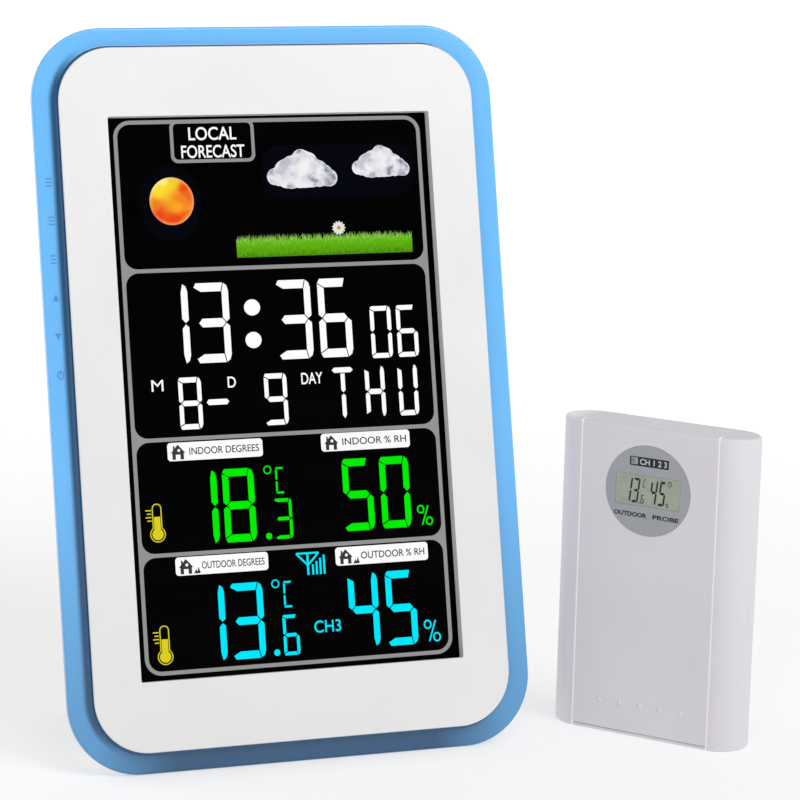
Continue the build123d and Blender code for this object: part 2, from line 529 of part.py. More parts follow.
with BuildPart() as sensor_board:
    slab(SENSOR_FACE, SENSOR_BOARD_BACK, SENSOR_BOARD_FRONT, (37.0, 27.5), [(0, DISC_V)], 1)
save(sensor_board, "sensor_board")

with BuildPart() as sensor_chips:
    slab(SENSOR_FACE, -8.0, SENSOR_BOARD_BACK, (8, 8), [(-11, 74)])
    slab(SENSOR_FACE, -7.9, SENSOR_BOARD_BACK, (4, 5), [(13, 68), (-12, 64)])
    slab(SENSOR_FACE, -9.2, SENSOR_BOARD_BACK, (8, 3.0), [(12, 78)], 1.4)
save(sensor_chips, "sensor_chips")

with BuildPart() as sensor_antenna:
    antenna_foot = SENSOR_FACE.from_local_coords((-18.0, 58.5, -9.6))
    antenna_seat = Plane(origin=antenna_foot, x_dir=SENSOR_PLAN.x_dir, z_dir=SENSOR_PLAN.z_dir)
    coil_spring(antenna_seat, 1.9, 0.35, 1.5, 15.0)
    slab(SENSOR_FACE, -9.6, SENSOR_BOARD_BACK, (0.8, 0.8), [(-16.1, 58.5)])
save(sensor_antenna, "sensor_antenna")

with BuildPart() as sensor_probe:
    slab(SENSOR_FACE, -9.6, SENSOR_BOARD_BACK, (4.0, 5.0), [(16.4, 60.0)])
    slab(SENSOR_FACE, -9.6, -8.8, (2.6, 3.0), [(16.4, 60.0)], mode=Mode.SUBTRACT)
save(sensor_probe, "sensor_probe")

# ---- back shell with its battery bay, deck and wall hook hole ------------------------------------
door_mid = [(0, (DOOR_LOW + DOOR_HIGH) / 2)]
with BuildPart() as sensor_back:
    sensor_outside()
    split(bisect_by=SEAM, keep=Keep.BOTTOM)
    peg(SENSOR_FACE, SENSOR_BACK + 1, -SENSOR_SPLIT - 0.05, 2.8, sensor_screw_points)
    peg(SENSOR_FACE, SENSOR_BACK, SENSOR_SCREW_SEAT, 2.1, sensor_screw_points, Mode.SUBTRACT)
    peg(SENSOR_FACE, SENSOR_SCREW_SEAT, -SENSOR_SPLIT, 1.1, sensor_screw_points, Mode.SUBTRACT)
    slab(SENSOR_FACE, SENSOR_BACK + 1, SENSOR_BACK + 2.4, (2 * DOOR_HALF + 4, DOOR_HIGH - DOOR_LOW + 2.6),
         door_mid)
    slab(SENSOR_FACE, SENSOR_BACK, -1.7, (TRAY_W + 2, TRAY_H + 2), [(0, TRAY_V)])
    slab(SENSOR_FACE, SENSOR_BACK, -8.0, (TRAY_W + 2, DECK_H + 0.5), [(0, DECK_V + 0.75)])
    slab(SENSOR_FACE, SENSOR_BACK, -2.7, (TRAY_W, TRAY_H), [(0, TRAY_V)], mode=Mode.SUBTRACT)
    slab(SENSOR_FACE, SENSOR_BACK, -9.0, (TRAY_W, DECK_H), [(0, DECK_V)], mode=Mode.SUBTRACT)
    slab(SENSOR_FACE, SENSOR_BACK, SENSOR_BACK + SENSOR_WALL, (2 * DOOR_HALF, DOOR_HIGH - DOOR_LOW),
         door_mid, 2, Mode.SUBTRACT)
    slab(SENSOR_FACE, -9.0, -8.0, (7.4, 2.6), [(KNOB_U, DECK_ROW)], mode=Mode.SUBTRACT)
    peg(SENSOR_FACE, -9.0, -8.0, 1.6, [(BUTTON_U, DECK_ROW)], Mode.SUBTRACT)
    peg(SENSOR_FACE, SENSOR_BACK, SENSOR_BACK + SENSOR_WALL, 3.4, [(0, HOOK_V)], Mode.SUBTRACT)
    slab(SENSOR_FACE, SENSOR_BACK, SENSOR_BACK + SENSOR_WALL, (3.4, 9.0), [(0, HOOK_SLOT_V)], 1.69,
         Mode.SUBTRACT)
    slab(SENSOR_FACE, SENSOR_BACK, SENSOR_BACK + SENSOR_WALL, (1.2, 8.0),
         [(u, 74.0) for u in (-16, -13.5, -11, 11, 13.5, 16)], 0.59, Mode.SUBTRACT)
save(sensor_back, "sensor_back")

with BuildPart() as sensor_door:
    slab(SENSOR_FACE, SENSOR_BACK, SENSOR_BACK + SENSOR_WALL - 0.1,
         (2 * DOOR_HALF - 0.4, DOOR_HIGH - DOOR_LOW - 0.4), door_mid, 1.8)
    slab(SENSOR_FACE, SENSOR_BACK - 0.4, SENSOR_BACK, (14, 0.9), [(0, 50 + 2.2 * i) for i in range(4)])
    slab(SENSOR_FACE, SENSOR_BACK + 1.2, SENSOR_BACK + 3.4, (10, 0.9), [(0, 60.0)])
save(sensor_door, "sensor_door")

with BuildPart() as sensor_screws:
    sensor_head = SENSOR_SCREW_SEAT - 1.5
    peg(SENSOR_FACE, sensor_head, SENSOR_SCREW_SEAT, SMALL_HEAD_R, sensor_screw_points)
    slab(SENSOR_FACE, sensor_head, sensor_head + 0.7, (2.4, 0.6), sensor_screw_points, mode=Mode.SUBTRACT)
    slab(SENSOR_FACE, sensor_head, sensor_head + 0.7, (0.6, 2.4), sensor_screw_points, mode=Mode.SUBTRACT)
    peg(SENSOR_FACE, SENSOR_SCREW_SEAT, -3.5, 0.9, sensor_screw_points)
save(sensor_screws, "sensor_screws")

# ---- sensor cells and contacts ---------------------------------------------------------------------
cell_points = [(column, -SENSOR_CELL_W) for column in SENSOR_CELL_COLUMNS]
cell_top = SENSOR_CELL_FOOT + CELL_BODY
for number, point in enumerate(cell_points, start=1):
    with BuildPart() as sensor_cell:
        peg(SENSOR_PLAN, SENSOR_CELL_FOOT, cell_top, CELL_R, [point])
        fillet(sensor_cell.edges(), radius=0.4)
        peg(SENSOR_PLAN, cell_top - 0.1, cell_top + CELL_NUB, 1.9, [point])
    save(sensor_cell, f"sensor_cell_{number}")

with BuildPart() as sensor_contact_springs:
    slab(SENSOR_PLAN, 4.9, 5.2, (9, 9), cell_points)
    for x, y in cell_points:
        coil_foot = SENSOR_PLAN.from_local_coords((x, y, 5.1))
        sensor_coil_seat = Plane(origin=coil_foot, x_dir=SENSOR_PLAN.x_dir, z_dir=SENSOR_PLAN.z_dir)
        coil_spring(sensor_coil_seat, 2.4, 0.25, 0.9, SENSOR_CELL_FOOT - 5.1 - 0.35)
save(sensor_contact_springs, "sensor_contact_springs")

with BuildPart() as sensor_contact_plates:
    slab(SENSOR_PLAN, cell_top + CELL_NUB, SENSOR_PLATE_TOP, (9, 9), cell_points)
save(sensor_contact_plates, "sensor_contact_plates")

# ---- channel slide switch and unit button behind the door --------------------------------------------
with BuildPart() as channel_switch:
    slab(SENSOR_FACE, -7.9, SENSOR_BOARD_BACK, (9.0, 4.0), [(KNOB_U, DECK_ROW)])
    slab(SENSOR_FACE, -7.9, -7.1, (6.8, 1.7), [(KNOB_U, DECK_ROW)], mode=Mode.SUBTRACT)
save(channel_switch, "channel_switch")

with BuildPart() as channel_knob:
    slab(SENSOR_FACE, -10.6, -7.2, (2.4, 1.5), [(KNOB_U - 2, DECK_ROW)])
save(channel_knob, "channel_knob")

with BuildPart() as unit_switch:
    slab(SENSOR_FACE, -7.8, SENSOR_BOARD_BACK, (4.6, 4.6), [(BUTTON_U, DECK_ROW + 0.4)])
    peg(SENSOR_FACE, -7.8, -6.9, 1.0, [(BUTTON_U, DECK_ROW)], Mode.SUBTRACT)
save(unit_switch, "unit_switch")

with BuildPart() as unit_button:
    peg(SENSOR_FACE, -10.2, -8.2, 1.45, [(BUTTON_U, DECK_ROW)])
    peg(SENSOR_FACE, -8.3, -7.4, 0.9, [(BUTTON_U, DECK_ROW)])
save(unit_button, "unit_button")
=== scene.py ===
"""A home weather station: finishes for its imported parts, the pictures on its displays, and a stage.

Drawings are made in millimetres on a flat face (right, up and out of it) and then placed in metres.
"""

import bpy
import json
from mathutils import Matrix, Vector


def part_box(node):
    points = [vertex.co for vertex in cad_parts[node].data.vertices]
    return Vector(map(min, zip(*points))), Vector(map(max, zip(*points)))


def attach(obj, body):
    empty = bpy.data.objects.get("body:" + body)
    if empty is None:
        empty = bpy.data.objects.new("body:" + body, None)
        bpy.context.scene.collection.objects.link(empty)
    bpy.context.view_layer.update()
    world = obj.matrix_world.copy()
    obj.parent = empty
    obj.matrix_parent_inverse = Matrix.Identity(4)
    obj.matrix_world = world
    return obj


bl_info = {
    "name": "Home Weather Station",
    "version": (1, 0, 0),
    "blender": (4, 5, 0),
    "location": "3D View > Sidebar > Station",
    "description": "Finishes, display pictures and stage for a weather console and its outdoor unit",
    "category": "Object",
}

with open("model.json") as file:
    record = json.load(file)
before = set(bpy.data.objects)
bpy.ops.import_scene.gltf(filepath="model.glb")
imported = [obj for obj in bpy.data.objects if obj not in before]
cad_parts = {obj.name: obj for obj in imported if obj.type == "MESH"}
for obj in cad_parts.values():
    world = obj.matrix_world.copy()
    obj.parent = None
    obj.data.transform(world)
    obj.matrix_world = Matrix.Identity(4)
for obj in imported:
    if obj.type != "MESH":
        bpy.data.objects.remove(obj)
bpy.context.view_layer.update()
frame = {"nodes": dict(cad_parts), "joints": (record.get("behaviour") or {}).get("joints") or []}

import json
import math

import bmesh
import bpy
import numpy as np
from bpy.props import FloatProperty, FloatVectorProperty, IntProperty, PointerProperty
from mathutils import Matrix, Vector

MM = 0.001
JOINTS = {joint["name"]: joint for joint in frame["joints"]}


# ---- faces to draw on --------------------------------------------------------------------------------
class Face:
    """A flat face: millimetres right, up and out of it, measured from its centre."""

    def __init__(self, outward):
        self.out = np.array(outward, float) / np.linalg.norm(outward)
        self.right = np.cross((0, 0, 1), self.out)
        self.right /= np.linalg.norm(self.right)
        self.up = np.cross(self.out, self.right)
        self.centre = np.zeros(3)

    def axes(self):
        return np.stack((self.right, self.up, self.out))

    def local(self, points):
        """Row-frame metres to this face's millimetres."""
        return (points - self.centre) @ self.axes().T / MM

    def matrix(self):
        """This face's millimetres to row-frame metres."""
        turn = Matrix(self.axes().T.tolist()).to_4x4()
        return Matrix.Translation(self.centre) @ turn @ Matrix.Scale(MM, 4)


def node_points(node):
    mesh = frame["nodes"][node].data
    flat = np.empty(len(mesh.vertices) * 3)
    mesh.vertices.foreach_get("co", flat)
    return flat.reshape(-1, 3)


def front_of(node, outward, behind=0.0):
    """The face of a node that looks outward, centred on the node, or a plane behind that face."""
    face = Face(outward)
    local = face.local(node_points(node))
    middle = (local.min(0) + local.max(0)) / 2
    middle[2] = local[:, 2].max() - behind
    face.centre = middle @ face.axes() * MM
    return face


SLOTS = {node: packed.material_slots[0].material.name for node, packed in frame["nodes"].items()}
console_out = -np.array(JOINTS["battery_door_lift"]["axis"], float)
sensor_out = -np.array(JOINTS["sensor_door_lift"]["axis"], float)
STEP_RISE = 1.85                # the step that carries the panel stands this far above the rim
PANEL_HALF_ACROSS, PANEL_HALF_HIGH, PANEL_CORNER = 57.05, 91.95, 14.5
GROOVE = 20.05                  # the outdoor unit's two grooves are this far from its middle
DISPLAY = front_of("lcd_glass", console_out)
RIM = front_of("blue_frame", console_out, behind=STEP_RISE)
DISC = front_of("sensor_disc", sensor_out)
SENSOR_GLASS = front_of("sensor_glass", sensor_out)

# ---- the display's layout, millimetres from the middle of the glass ----------------------------------
FRAME_LEFT, FRAME_RIGHT = -42.3, 42.6
FRAME_TOP, FRAME_FOOT = 73.0, -72.4
DIVIDERS = (33.3, -11.1, -41.2)
SECTION_RADIUS = 3.4
UNDER = (0.012, 0.022)          # heights of the soft glows behind the pictures
PRINT = (0.03, 0.06)            # heights of the lit parts
TOP_PRINT = (0.05, 0.09)        # heights of what lies on the lit plates
SEGMENT_GAP = 0.26
BAR, POST = 2.3, 1.95           # thickness of the bars and posts of the large readings
KEY_NAMES = ("set", "history", "channel", "up", "down", "snooze")


# ---- outlines ----------------------------------------------------------------------------------------
def rounded_box(left, bottom, right, top, radius, steps=9):
    """Four quarter turns: each corner's centre plus the radius in every direction of its quarter."""
    quarter = np.linspace(0, np.pi / 2, steps)
    turn = quarter[None, :] + np.arange(4)[:, None] * np.pi / 2
    middle_x = np.array([right - radius, left + radius, left + radius, right - radius])[:, None]
    middle_y = np.array([top - radius, top - radius, bottom + radius, bottom + radius])[:, None]
    corners = np.stack((middle_x + radius * np.cos(turn), middle_y + radius * np.sin(turn)), -1)
    return corners.reshape(-1, 2)


def ellipse(x, y, across, high=None, steps=48):
    """The middle plus each half-width times the cosine and sine of an even turn."""
    turn = np.linspace(0, 2 * np.pi, steps, endpoint=False)
    high = across if high is None else high
    return np.stack((x + across * np.cos(turn), y + high * np.sin(turn)), -1)


def ring(x, y, across, high, line):
    return [ellipse(x, y, across, high), ellipse(x, y, across - line, high - line)]


def stroke(start, end, width):
    """A straight line as a thin four-sided outline, half its width to each side."""
    start, end = np.array(start, float), np.array(end, float)
    along = (end - start) / np.linalg.norm(end - start)
    side = np.array((-along[1], along[0])) * width / 2
    return np.array((start - side, end - side, end + side, start + side))


def inset(outline, distance):
    """A convex outline moved inwards: each corner goes where its two sides meet once both have moved."""
    outline = np.array(outline, float)
    side = np.roll(outline, -1, 0) - outline
    length = np.linalg.norm(side, axis=1, keepdims=True)
    inward = np.stack((-side[:, 1], side[:, 0]), 1) / length
    inward *= np.sign((outline[:, 0] * side[:, 1] - outline[:, 1] * side[:, 0]).sum())
    before = np.roll(inward, 1, 0)
    return outline + distance * (inward + before) / (1 + (inward * before).sum(1, keepdims=True))


SEGMENTS = {
    "0": "abcdef", "1": "bc", "3": "abcdg", "4": "bcfg", "5": "acdfg", "6": "acdefg", "8": "abcdefg",
    "9": "abcdfg", "C": "adef", "H": "bcefg", "U": "bcdef", "T": "tij", "-": "g",
}


def segment_outlines(width, height, bar, post):
    """The bars of a digit: a above, b and c on the right, d below, e and f on the left, g across.

    Each is a short outline worked out from the digit's size, its bars' height and its posts' width.
    t, i and j are the head and the two middle posts of a letter T.
    """
    middle, centre = height / 2, width / 2
    shapes = {
        "a": [(0.35 * post, height), (width - 0.72 * post, height), (width - post, height - bar),
              (post, height - bar), (0, height - 0.5 * bar)],
        "b": [(width - 0.72 * post, height), (width - 0.2 * post, height - 0.4 * post),
              (width, height - 1.1 * post), (width, middle + 0.35 * bar), (width - 0.5 * post, middle),
              (width - post, middle + 0.5 * bar), (width - post, height - bar)],
        "f": [(0, height - 0.5 * bar), (post, height - bar), (post, middle + 0.5 * bar),
              (0.5 * post, middle), (0, middle + 0.35 * bar)],
        "g": [(0.5 * post, middle), (post, middle + 0.5 * bar), (width - post, middle + 0.5 * bar),
              (width - 0.5 * post, middle), (width - post, middle - 0.5 * bar),
              (post, middle - 0.5 * bar)],
        "t": [(0, height - 0.5 * bar), (0.5 * bar, height), (width - 0.5 * bar, height),
              (width, height - 0.5 * bar), (width - 0.5 * bar, height - bar), (0.5 * bar, height - bar)],
        "i": [(centre - 0.5 * post, height - bar), (centre + 0.5 * post, height - bar),
              (centre + 0.5 * post, middle + 0.5 * post), (centre, middle),
              (centre - 0.5 * post, middle + 0.5 * post)],
        "j": [(centre - 0.5 * post, middle - 0.5 * post), (centre, middle),
              (centre + 0.5 * post, middle - 0.5 * post), (centre + 0.5 * post, 0.8 * post),
              (centre, 0), (centre - 0.5 * post, 0.8 * post)],
    }
    for lower, upper in (("d", "a"), ("c", "b"), ("e", "f")):
        shapes[lower] = [(x, height - y) for x, y in shapes[upper]]
    return shapes


def digit(character, left, bottom, width, height, bar, post, gap=SEGMENT_GAP, slant=0.0):
    """The lit bars of one character, each drawn in by half the gap, leaning by slant."""
    shapes = segment_outlines(width, height, bar, post)
    outlines = []
    for name in SEGMENTS[character]:
        outline = inset(shapes[name], gap / 2)
        outline[:, 0] += left + slant * outline[:, 1]
        outline[:, 1] += bottom
        outlines.append(outline)
    return outlines


# ---- meshes ------------------------------------------------------------------------------------------
def mesh_of(curve):
    """The mesh of a flat curve or of lettering."""
    holder = bpy.data.objects.new("holder", curve)
    bpy.context.scene.collection.objects.link(holder)
    depsgraph = bpy.context.evaluated_depsgraph_get()
    mesh = bpy.data.meshes.new_from_object(holder.evaluated_get(depsgraph))
    bpy.data.objects.remove(holder)
    bpy.data.curves.remove(curve)
    return mesh


def plate(outlines, heights=PRINT):
    """A flat plate between two heights, filled where an odd number of the outlines lie round a point."""
    curve = bpy.data.curves.new("outlines", "CURVE")
    curve.dimensions = "2D"
    curve.fill_mode = "BOTH"
    curve.extrude = (heights[1] - heights[0]) / 2
    for outline in outlines:
        spline = curve.splines.new("POLY")
        spline.points.add(len(outline) - 1)
        columns = np.zeros((len(outline), 4))
        columns[:, :2] = outline
        spline.points.foreach_set("co", columns.ravel())
        spline.use_cyclic_u = True
    mesh = mesh_of(curve)
    mesh.transform(Matrix.Translation((0, 0, sum(heights) / 2)))
    return mesh


def lettering(words, left, bottom, right, top, heights=PRINT, weight=0.0):
    """Plain lettering stretched to fill a box, between two heights."""
    curve = bpy.data.curves.new("words", "FONT")
    curve.body = words
    curve.offset = weight
    curve.extrude = 0.5
    mesh = mesh_of(curve)
    flat = np.empty(len(mesh.vertices) * 3)
    mesh.vertices.foreach_get("co", flat)
    points = flat.reshape(-1, 3)
    low, high = points.min(0), points.max(0)
    share = (points - low) / (high - low)
    box_low, box_high = np.array((left, bottom, heights[0])), np.array((right, top, heights[1]))
    mesh.vertices.foreach_set("co", (box_low + share * (box_high - box_low)).ravel())
    return mesh


def dome(reach, rise, rings=20, spokes=96):
    """A low dome on a flat base.

    A point a share s of the way out in the direction of a turn stands at s times the outline's reach
    there, as high as rise gives for s and the turn. The rim drops to height zero and one flat face
    closes the base. The share is kept on the mesh as the attribute "share".
    """
    turn = np.linspace(0, 2 * np.pi, spokes, endpoint=False)
    share = np.linspace(0, 1, rings + 1)[1:, None]
    x = share * (reach(turn) * np.cos(turn))
    y = share * (reach(turn) * np.sin(turn))
    z = rise(share, turn[None, :]) * np.ones_like(x)
    top = np.stack((x, y, z), -1).reshape(-1, 3)
    base = np.stack((x[-1], y[-1], np.zeros(spokes)), -1)
    peak = np.array([[0.0, 0.0, float(rise(np.zeros(1), np.zeros(1))[0])]])
    here = np.arange(spokes)
    after = (here + 1) % spokes
    fan = np.stack((np.zeros(spokes, int), here + 1, after + 1), -1).tolist()
    first = 1 + np.arange(rings)[:, None] * spokes
    walls = np.stack((first + here, first + spokes + here, first + spokes + after, first + after), -1)
    bottom = (1 + rings * spokes + here[::-1]).tolist()
    mesh = bpy.data.meshes.new("dome")
    points = np.vstack((peak, top, base)).tolist()
    mesh.from_pydata(points, [], fan + walls.reshape(-1, 4).tolist() + [bottom])
    shares = np.concatenate(([0.0], np.repeat(share[:, 0], spokes), np.ones(spokes)))
    mesh.attributes.new("share", "FLOAT", "POINT").data.foreach_set("value", shares)
    mesh.shade_smooth()
    return mesh


def spikes(feet, tips, width, depth):
    """Thin blades: each a three-sided spike from two points at its foot and one ridge to its tip."""
    count = len(feet)
    half = np.array((width / 2, 0, 0))
    ridge = (feet * 0.6 + tips * 0.4) + np.array((0, 0, depth))
    points = np.stack((feet - half, feet + half, tips, ridge), 1).reshape(-1, 3)
    one = np.array(((0, 1, 3), (1, 2, 3), (2, 0, 3), (0, 2, 1)))
    faces = (np.arange(count)[:, None, None] * 4 + one).reshape(-1, 3)
    mesh = bpy.data.meshes.new("spikes")
    mesh.from_pydata(points.tolist(), [], faces.tolist())
    return mesh


def moved(mesh, x, y, z=0.0):
    mesh.transform(Matrix.Translation((x, y, z)))
    return mesh


def add_piece(name, meshes, face, body, material):
    """Joins meshes drawn on a face into one named piece that rides on a body."""
    form = bmesh.new()
    for mesh in meshes:
        form.from_mesh(mesh)
        bpy.data.meshes.remove(mesh)
    bmesh.ops.remove_doubles(form, verts=form.verts, dist=0.0005)
    bmesh.ops.recalc_face_normals(form, faces=form.faces)
    joined = bpy.data.meshes.new(name)
    form.to_mesh(joined)
    form.free()
    joined.transform(face.matrix())
    joined.materials.append(material)
    piece = bpy.data.objects.new(name, joined)
    bpy.context.scene.collection.objects.link(piece)
    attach(piece, body)


def show_piece(name, meshes, material):
    """A piece drawn on the console's display."""
    add_piece(name, meshes, DISPLAY, "console", material)


# ---- materials ---------------------------------------------------------------------------------------
def new_shader(name, roughness=0.5, metallic=0.0, coat=0.0, coat_roughness=0.1, specular=0.5):
    """A material whose even values are set on its main shader. Returns the material, tree and shader."""
    material = bpy.data.materials.new(name)
    material.use_nodes = True
    tree = material.node_tree
    shader = tree.nodes["Principled BSDF"]
    values = {"Roughness": roughness, "Metallic": metallic, "Coat Weight": coat,
              "Coat Roughness": coat_roughness, "Specular IOR Level": specular}
    for socket, value in values.items():
        shader.inputs[socket].default_value = value
    return material, tree, shader


def node(tree, kind, inputs, output=0, **settings):
    """A shader node: its inputs by name or number, each a value or a socket, and its settings."""
    made = tree.nodes.new("ShaderNode" + kind)
    for setting, value in settings.items():
        setattr(made, setting, value)
    for name, value in inputs.items():
        if isinstance(value, bpy.types.NodeSocket):
            tree.links.new(value, made.inputs[name])
        else:
            made.inputs[name].default_value = value
    return made.outputs[output]


def coordinates(tree, face=None):
    """Object coordinates, in metres, or turned to a face's own millimetres."""
    source = node(tree, "TexCoord", {}, "Object")
    if face is None:
        return source
    place, turn, size = face.matrix().decompose()
    return node(tree, "Mapping", {"Vector": source, "Location": place, "Rotation": turn.to_euler(),
                                  "Scale": size}, vector_type="TEXTURE")


def stretched(tree, source, scale):
    return node(tree, "Mapping", {"Vector": source, "Scale": scale})


def noise(tree, source, scale, detail=2.0, rough=0.5, output="Fac"):
    return node(tree, "TexNoise", {"Vector": source, "Scale": scale, "Detail": detail, "Roughness": rough},
                output)


def tones(tree, factor, stops, interpolation="LINEAR"):
    """A colour for each share: stops are (share, colour) pairs."""
    colour = node(tree, "ValToRGB", {"Fac": factor}, "Color")
    ramp = colour.node.color_ramp
    ramp.interpolation = interpolation
    for share, _ in stops[2:]:
        ramp.elements.new(share)
    for element, (share, tone) in zip(ramp.elements, stops):
        element.position = share
        element.color = (*tone, 1)
    return colour


def spread(tree, factor, low, high, from_low=0.3, from_high=0.7, **settings):
    """A factor stretched to run between two values."""
    return node(tree, "MapRange", {"Value": factor, "From Min": from_low, "From Max": from_high,
                                   "To Min": low, "To Max": high}, "Result", **settings)


def arithmetic(tree, operation, *values):
    """One step of sums on one or two values, each a number or a socket."""
    return node(tree, "Math", dict(enumerate(values)), operation=operation)


def product(tree, first, second):
    return arithmetic(tree, "MULTIPLY", first, second)


def size_of(tree, value):
    return arithmetic(tree, "ABSOLUTE", value)


def vectors(tree, operation, *values, output="Vector"):
    """One step of sums on places or directions."""
    return node(tree, "VectorMath", dict(enumerate(values)), output, operation=operation)


def axes_of(tree, place):
    """The three parts of a place: across, up and out on a face, or X, Y and Z."""
    return tuple(node(tree, "SeparateXYZ", {"Vector": place}).node.outputs)


def feed(tree, shader, name, source):
    tree.links.new(source, shader.inputs[name])


def relief(tree, shader, factor, depth):
    """Raises the surface by up to depth metres where the factor is high."""
    normal = node(tree, "Bump", {"Height": factor, "Distance": depth, "Strength": 1.0}, "Normal")
    tree.links.new(normal, shader.inputs["Normal"])


def solid(tree, colour):
    """One colour as a socket, for tones to be laid over."""
    socket = node(tree, "RGB", {})
    socket.default_value = (*colour, 1)
    return socket


def laid_over(tree, factor, ground, colour):
    """A colour laid over a ground where the factor is high."""
    mix = tree.nodes.new("ShaderNodeMix")
    mix.data_type = "RGBA"
    under, over = [socket for socket in mix.inputs if socket.type == "RGBA"]
    tree.links.new(factor, mix.inputs[0])
    tree.links.new(ground, under)
    if isinstance(colour, tuple):
        over.default_value = (*colour, 1)
    else:
        tree.links.new(colour, over)
    return next(socket for socket in mix.outputs if socket.type == "RGBA")


def dabs(tree, place, ground, spots):
    """Soft round dabs of colour over a ground: each has a centre, a reach and a colour."""
    for x, y, reach, colour in spots:
        distance = vectors(tree, "DISTANCE", place, (x, y, 0), output="Value")
        share = spread(tree, distance, 0, 1, reach, 0.1 * reach, interpolation_type="SMOOTHSTEP")
        ground = laid_over(tree, share, ground, colour)
    return ground


def wandering(tree, place, scale, reach):
    """Places shifted this way and that by up to a reach, so that soft shapes lose their roundness."""
    chance = noise(tree, place, scale, detail=3, output="Color")
    shift = vectors(tree, "MULTIPLY_ADD", chance, (2 * reach, 2 * reach, 0), (-reach, -reach, 0))
    return vectors(tree, "ADD", place, shift)


def shade(colour, by):
    return tuple(min(1.0, channel * by) for channel in colour)


def moulded(name, colour, roughness, grain=0.35, depth=0.01, coat=0.0, specular=0.5, uneven=0.03):
    """Moulded plastic: an even colour with slow drifts, and a fine grain of so many millimetres."""
    material, tree, shader = new_shader(name, roughness, coat=coat, specular=specular)
    place = coordinates(tree)
    slow = noise(tree, place, 35, detail=3)
    fine = noise(tree, place, 1 / (grain * MM), detail=3)
    stops = ((0.3, shade(colour, 1 - uneven)), (0.7, shade(colour, 1 + uneven / 2)))
    tree.links.new(tones(tree, slow, stops), shader.inputs["Base Color"])
    rough = spread(tree, fine, roughness * 0.9, min(1.0, roughness * 1.12))
    feed(tree, shader, "Roughness", rough)
    relief(tree, shader, fine, depth * MM)
    return material


def lit(name, colour, uneven=0.04):
    """A lit part of the display: it glows evenly, with the faint cloudiness of its backlight."""
    material, tree, shader = new_shader(name, 0.4, specular=0.01)
    shader.inputs["Base Color"].default_value = (0, 0, 0, 1)
    shader.inputs["Emission Strength"].default_value = 1.0
    cloudy = noise(tree, coordinates(tree), 60, detail=2)
    stops = ((0.3, shade(colour, 1 - uneven)), (0.7, colour))
    tree.links.new(tones(tree, cloudy, stops), shader.inputs["Emission Color"])
    return material


def ink(name, colour, roughness=0.45):
    """Printed ink: thin, a little mottled."""
    material, tree, shader = new_shader(name, roughness, specular=0.3)
    mottle = noise(tree, coordinates(tree), 2500, detail=2)
    stops = ((0.3, shade(colour, 0.85)), (0.7, shade(colour, 1.1)))
    tree.links.new(tones(tree, mottle, stops), shader.inputs["Base Color"])
    relief(tree, shader, mottle, 0.002 * MM)
    return material


METAL_GRAIN = 0.15              # millimetres between drawing marks


def metal(name, colour, roughness):
    """Plated metal with fine drawing marks."""
    material, tree, shader = new_shader(name, roughness, metallic=1.0)
    marks = noise(tree, coordinates(tree), 1 / (METAL_GRAIN * MM), detail=4)
    stops = ((0.3, shade(colour, 0.86)), (0.7, shade(colour, 1.08)))
    tree.links.new(tones(tree, marks, stops), shader.inputs["Base Color"])
    tree.links.new(spread(tree, marks, roughness * 0.75, roughness * 1.3), shader.inputs["Roughness"])
    relief(tree, shader, marks, 0.004 * MM)
    return material


def finish_nodes(slot, material, nodes=None):
    """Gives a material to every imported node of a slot, or to the nodes named."""
    chosen = nodes or [packed for packed, named in SLOTS.items() if named == slot]
    if not chosen:
        raise RuntimeError(f"no packed node has the slot {slot}")
    for packed in chosen:
        frame["nodes"][packed].material_slots[0].material = material


def finish_moulded(*rows):
    """Moulded plastic for several slots: each row is a slot, then what moulded takes, in its order."""
    for slot, *plastic in rows:
        finish_nodes(slot, moulded(*plastic))


def within(tree, place, outer, inner, half_across, half_high, radius):
    """A factor that falls from 1 at one distance outside a rounded box to 0 at another."""
    straight = (half_across - radius, half_high - radius, 0)
    flat = vectors(tree, "ABSOLUTE", vectors(tree, "MULTIPLY", place, (1, 1, 0)))
    beyond = vectors(tree, "MAXIMUM", vectors(tree, "SUBTRACT", flat, straight), (0, 0, 0))
    away = vectors(tree, "LENGTH", beyond, output="Value")
    return spread(tree, arithmetic(tree, "SUBTRACT", away, radius), 0, 1, outer, inner)


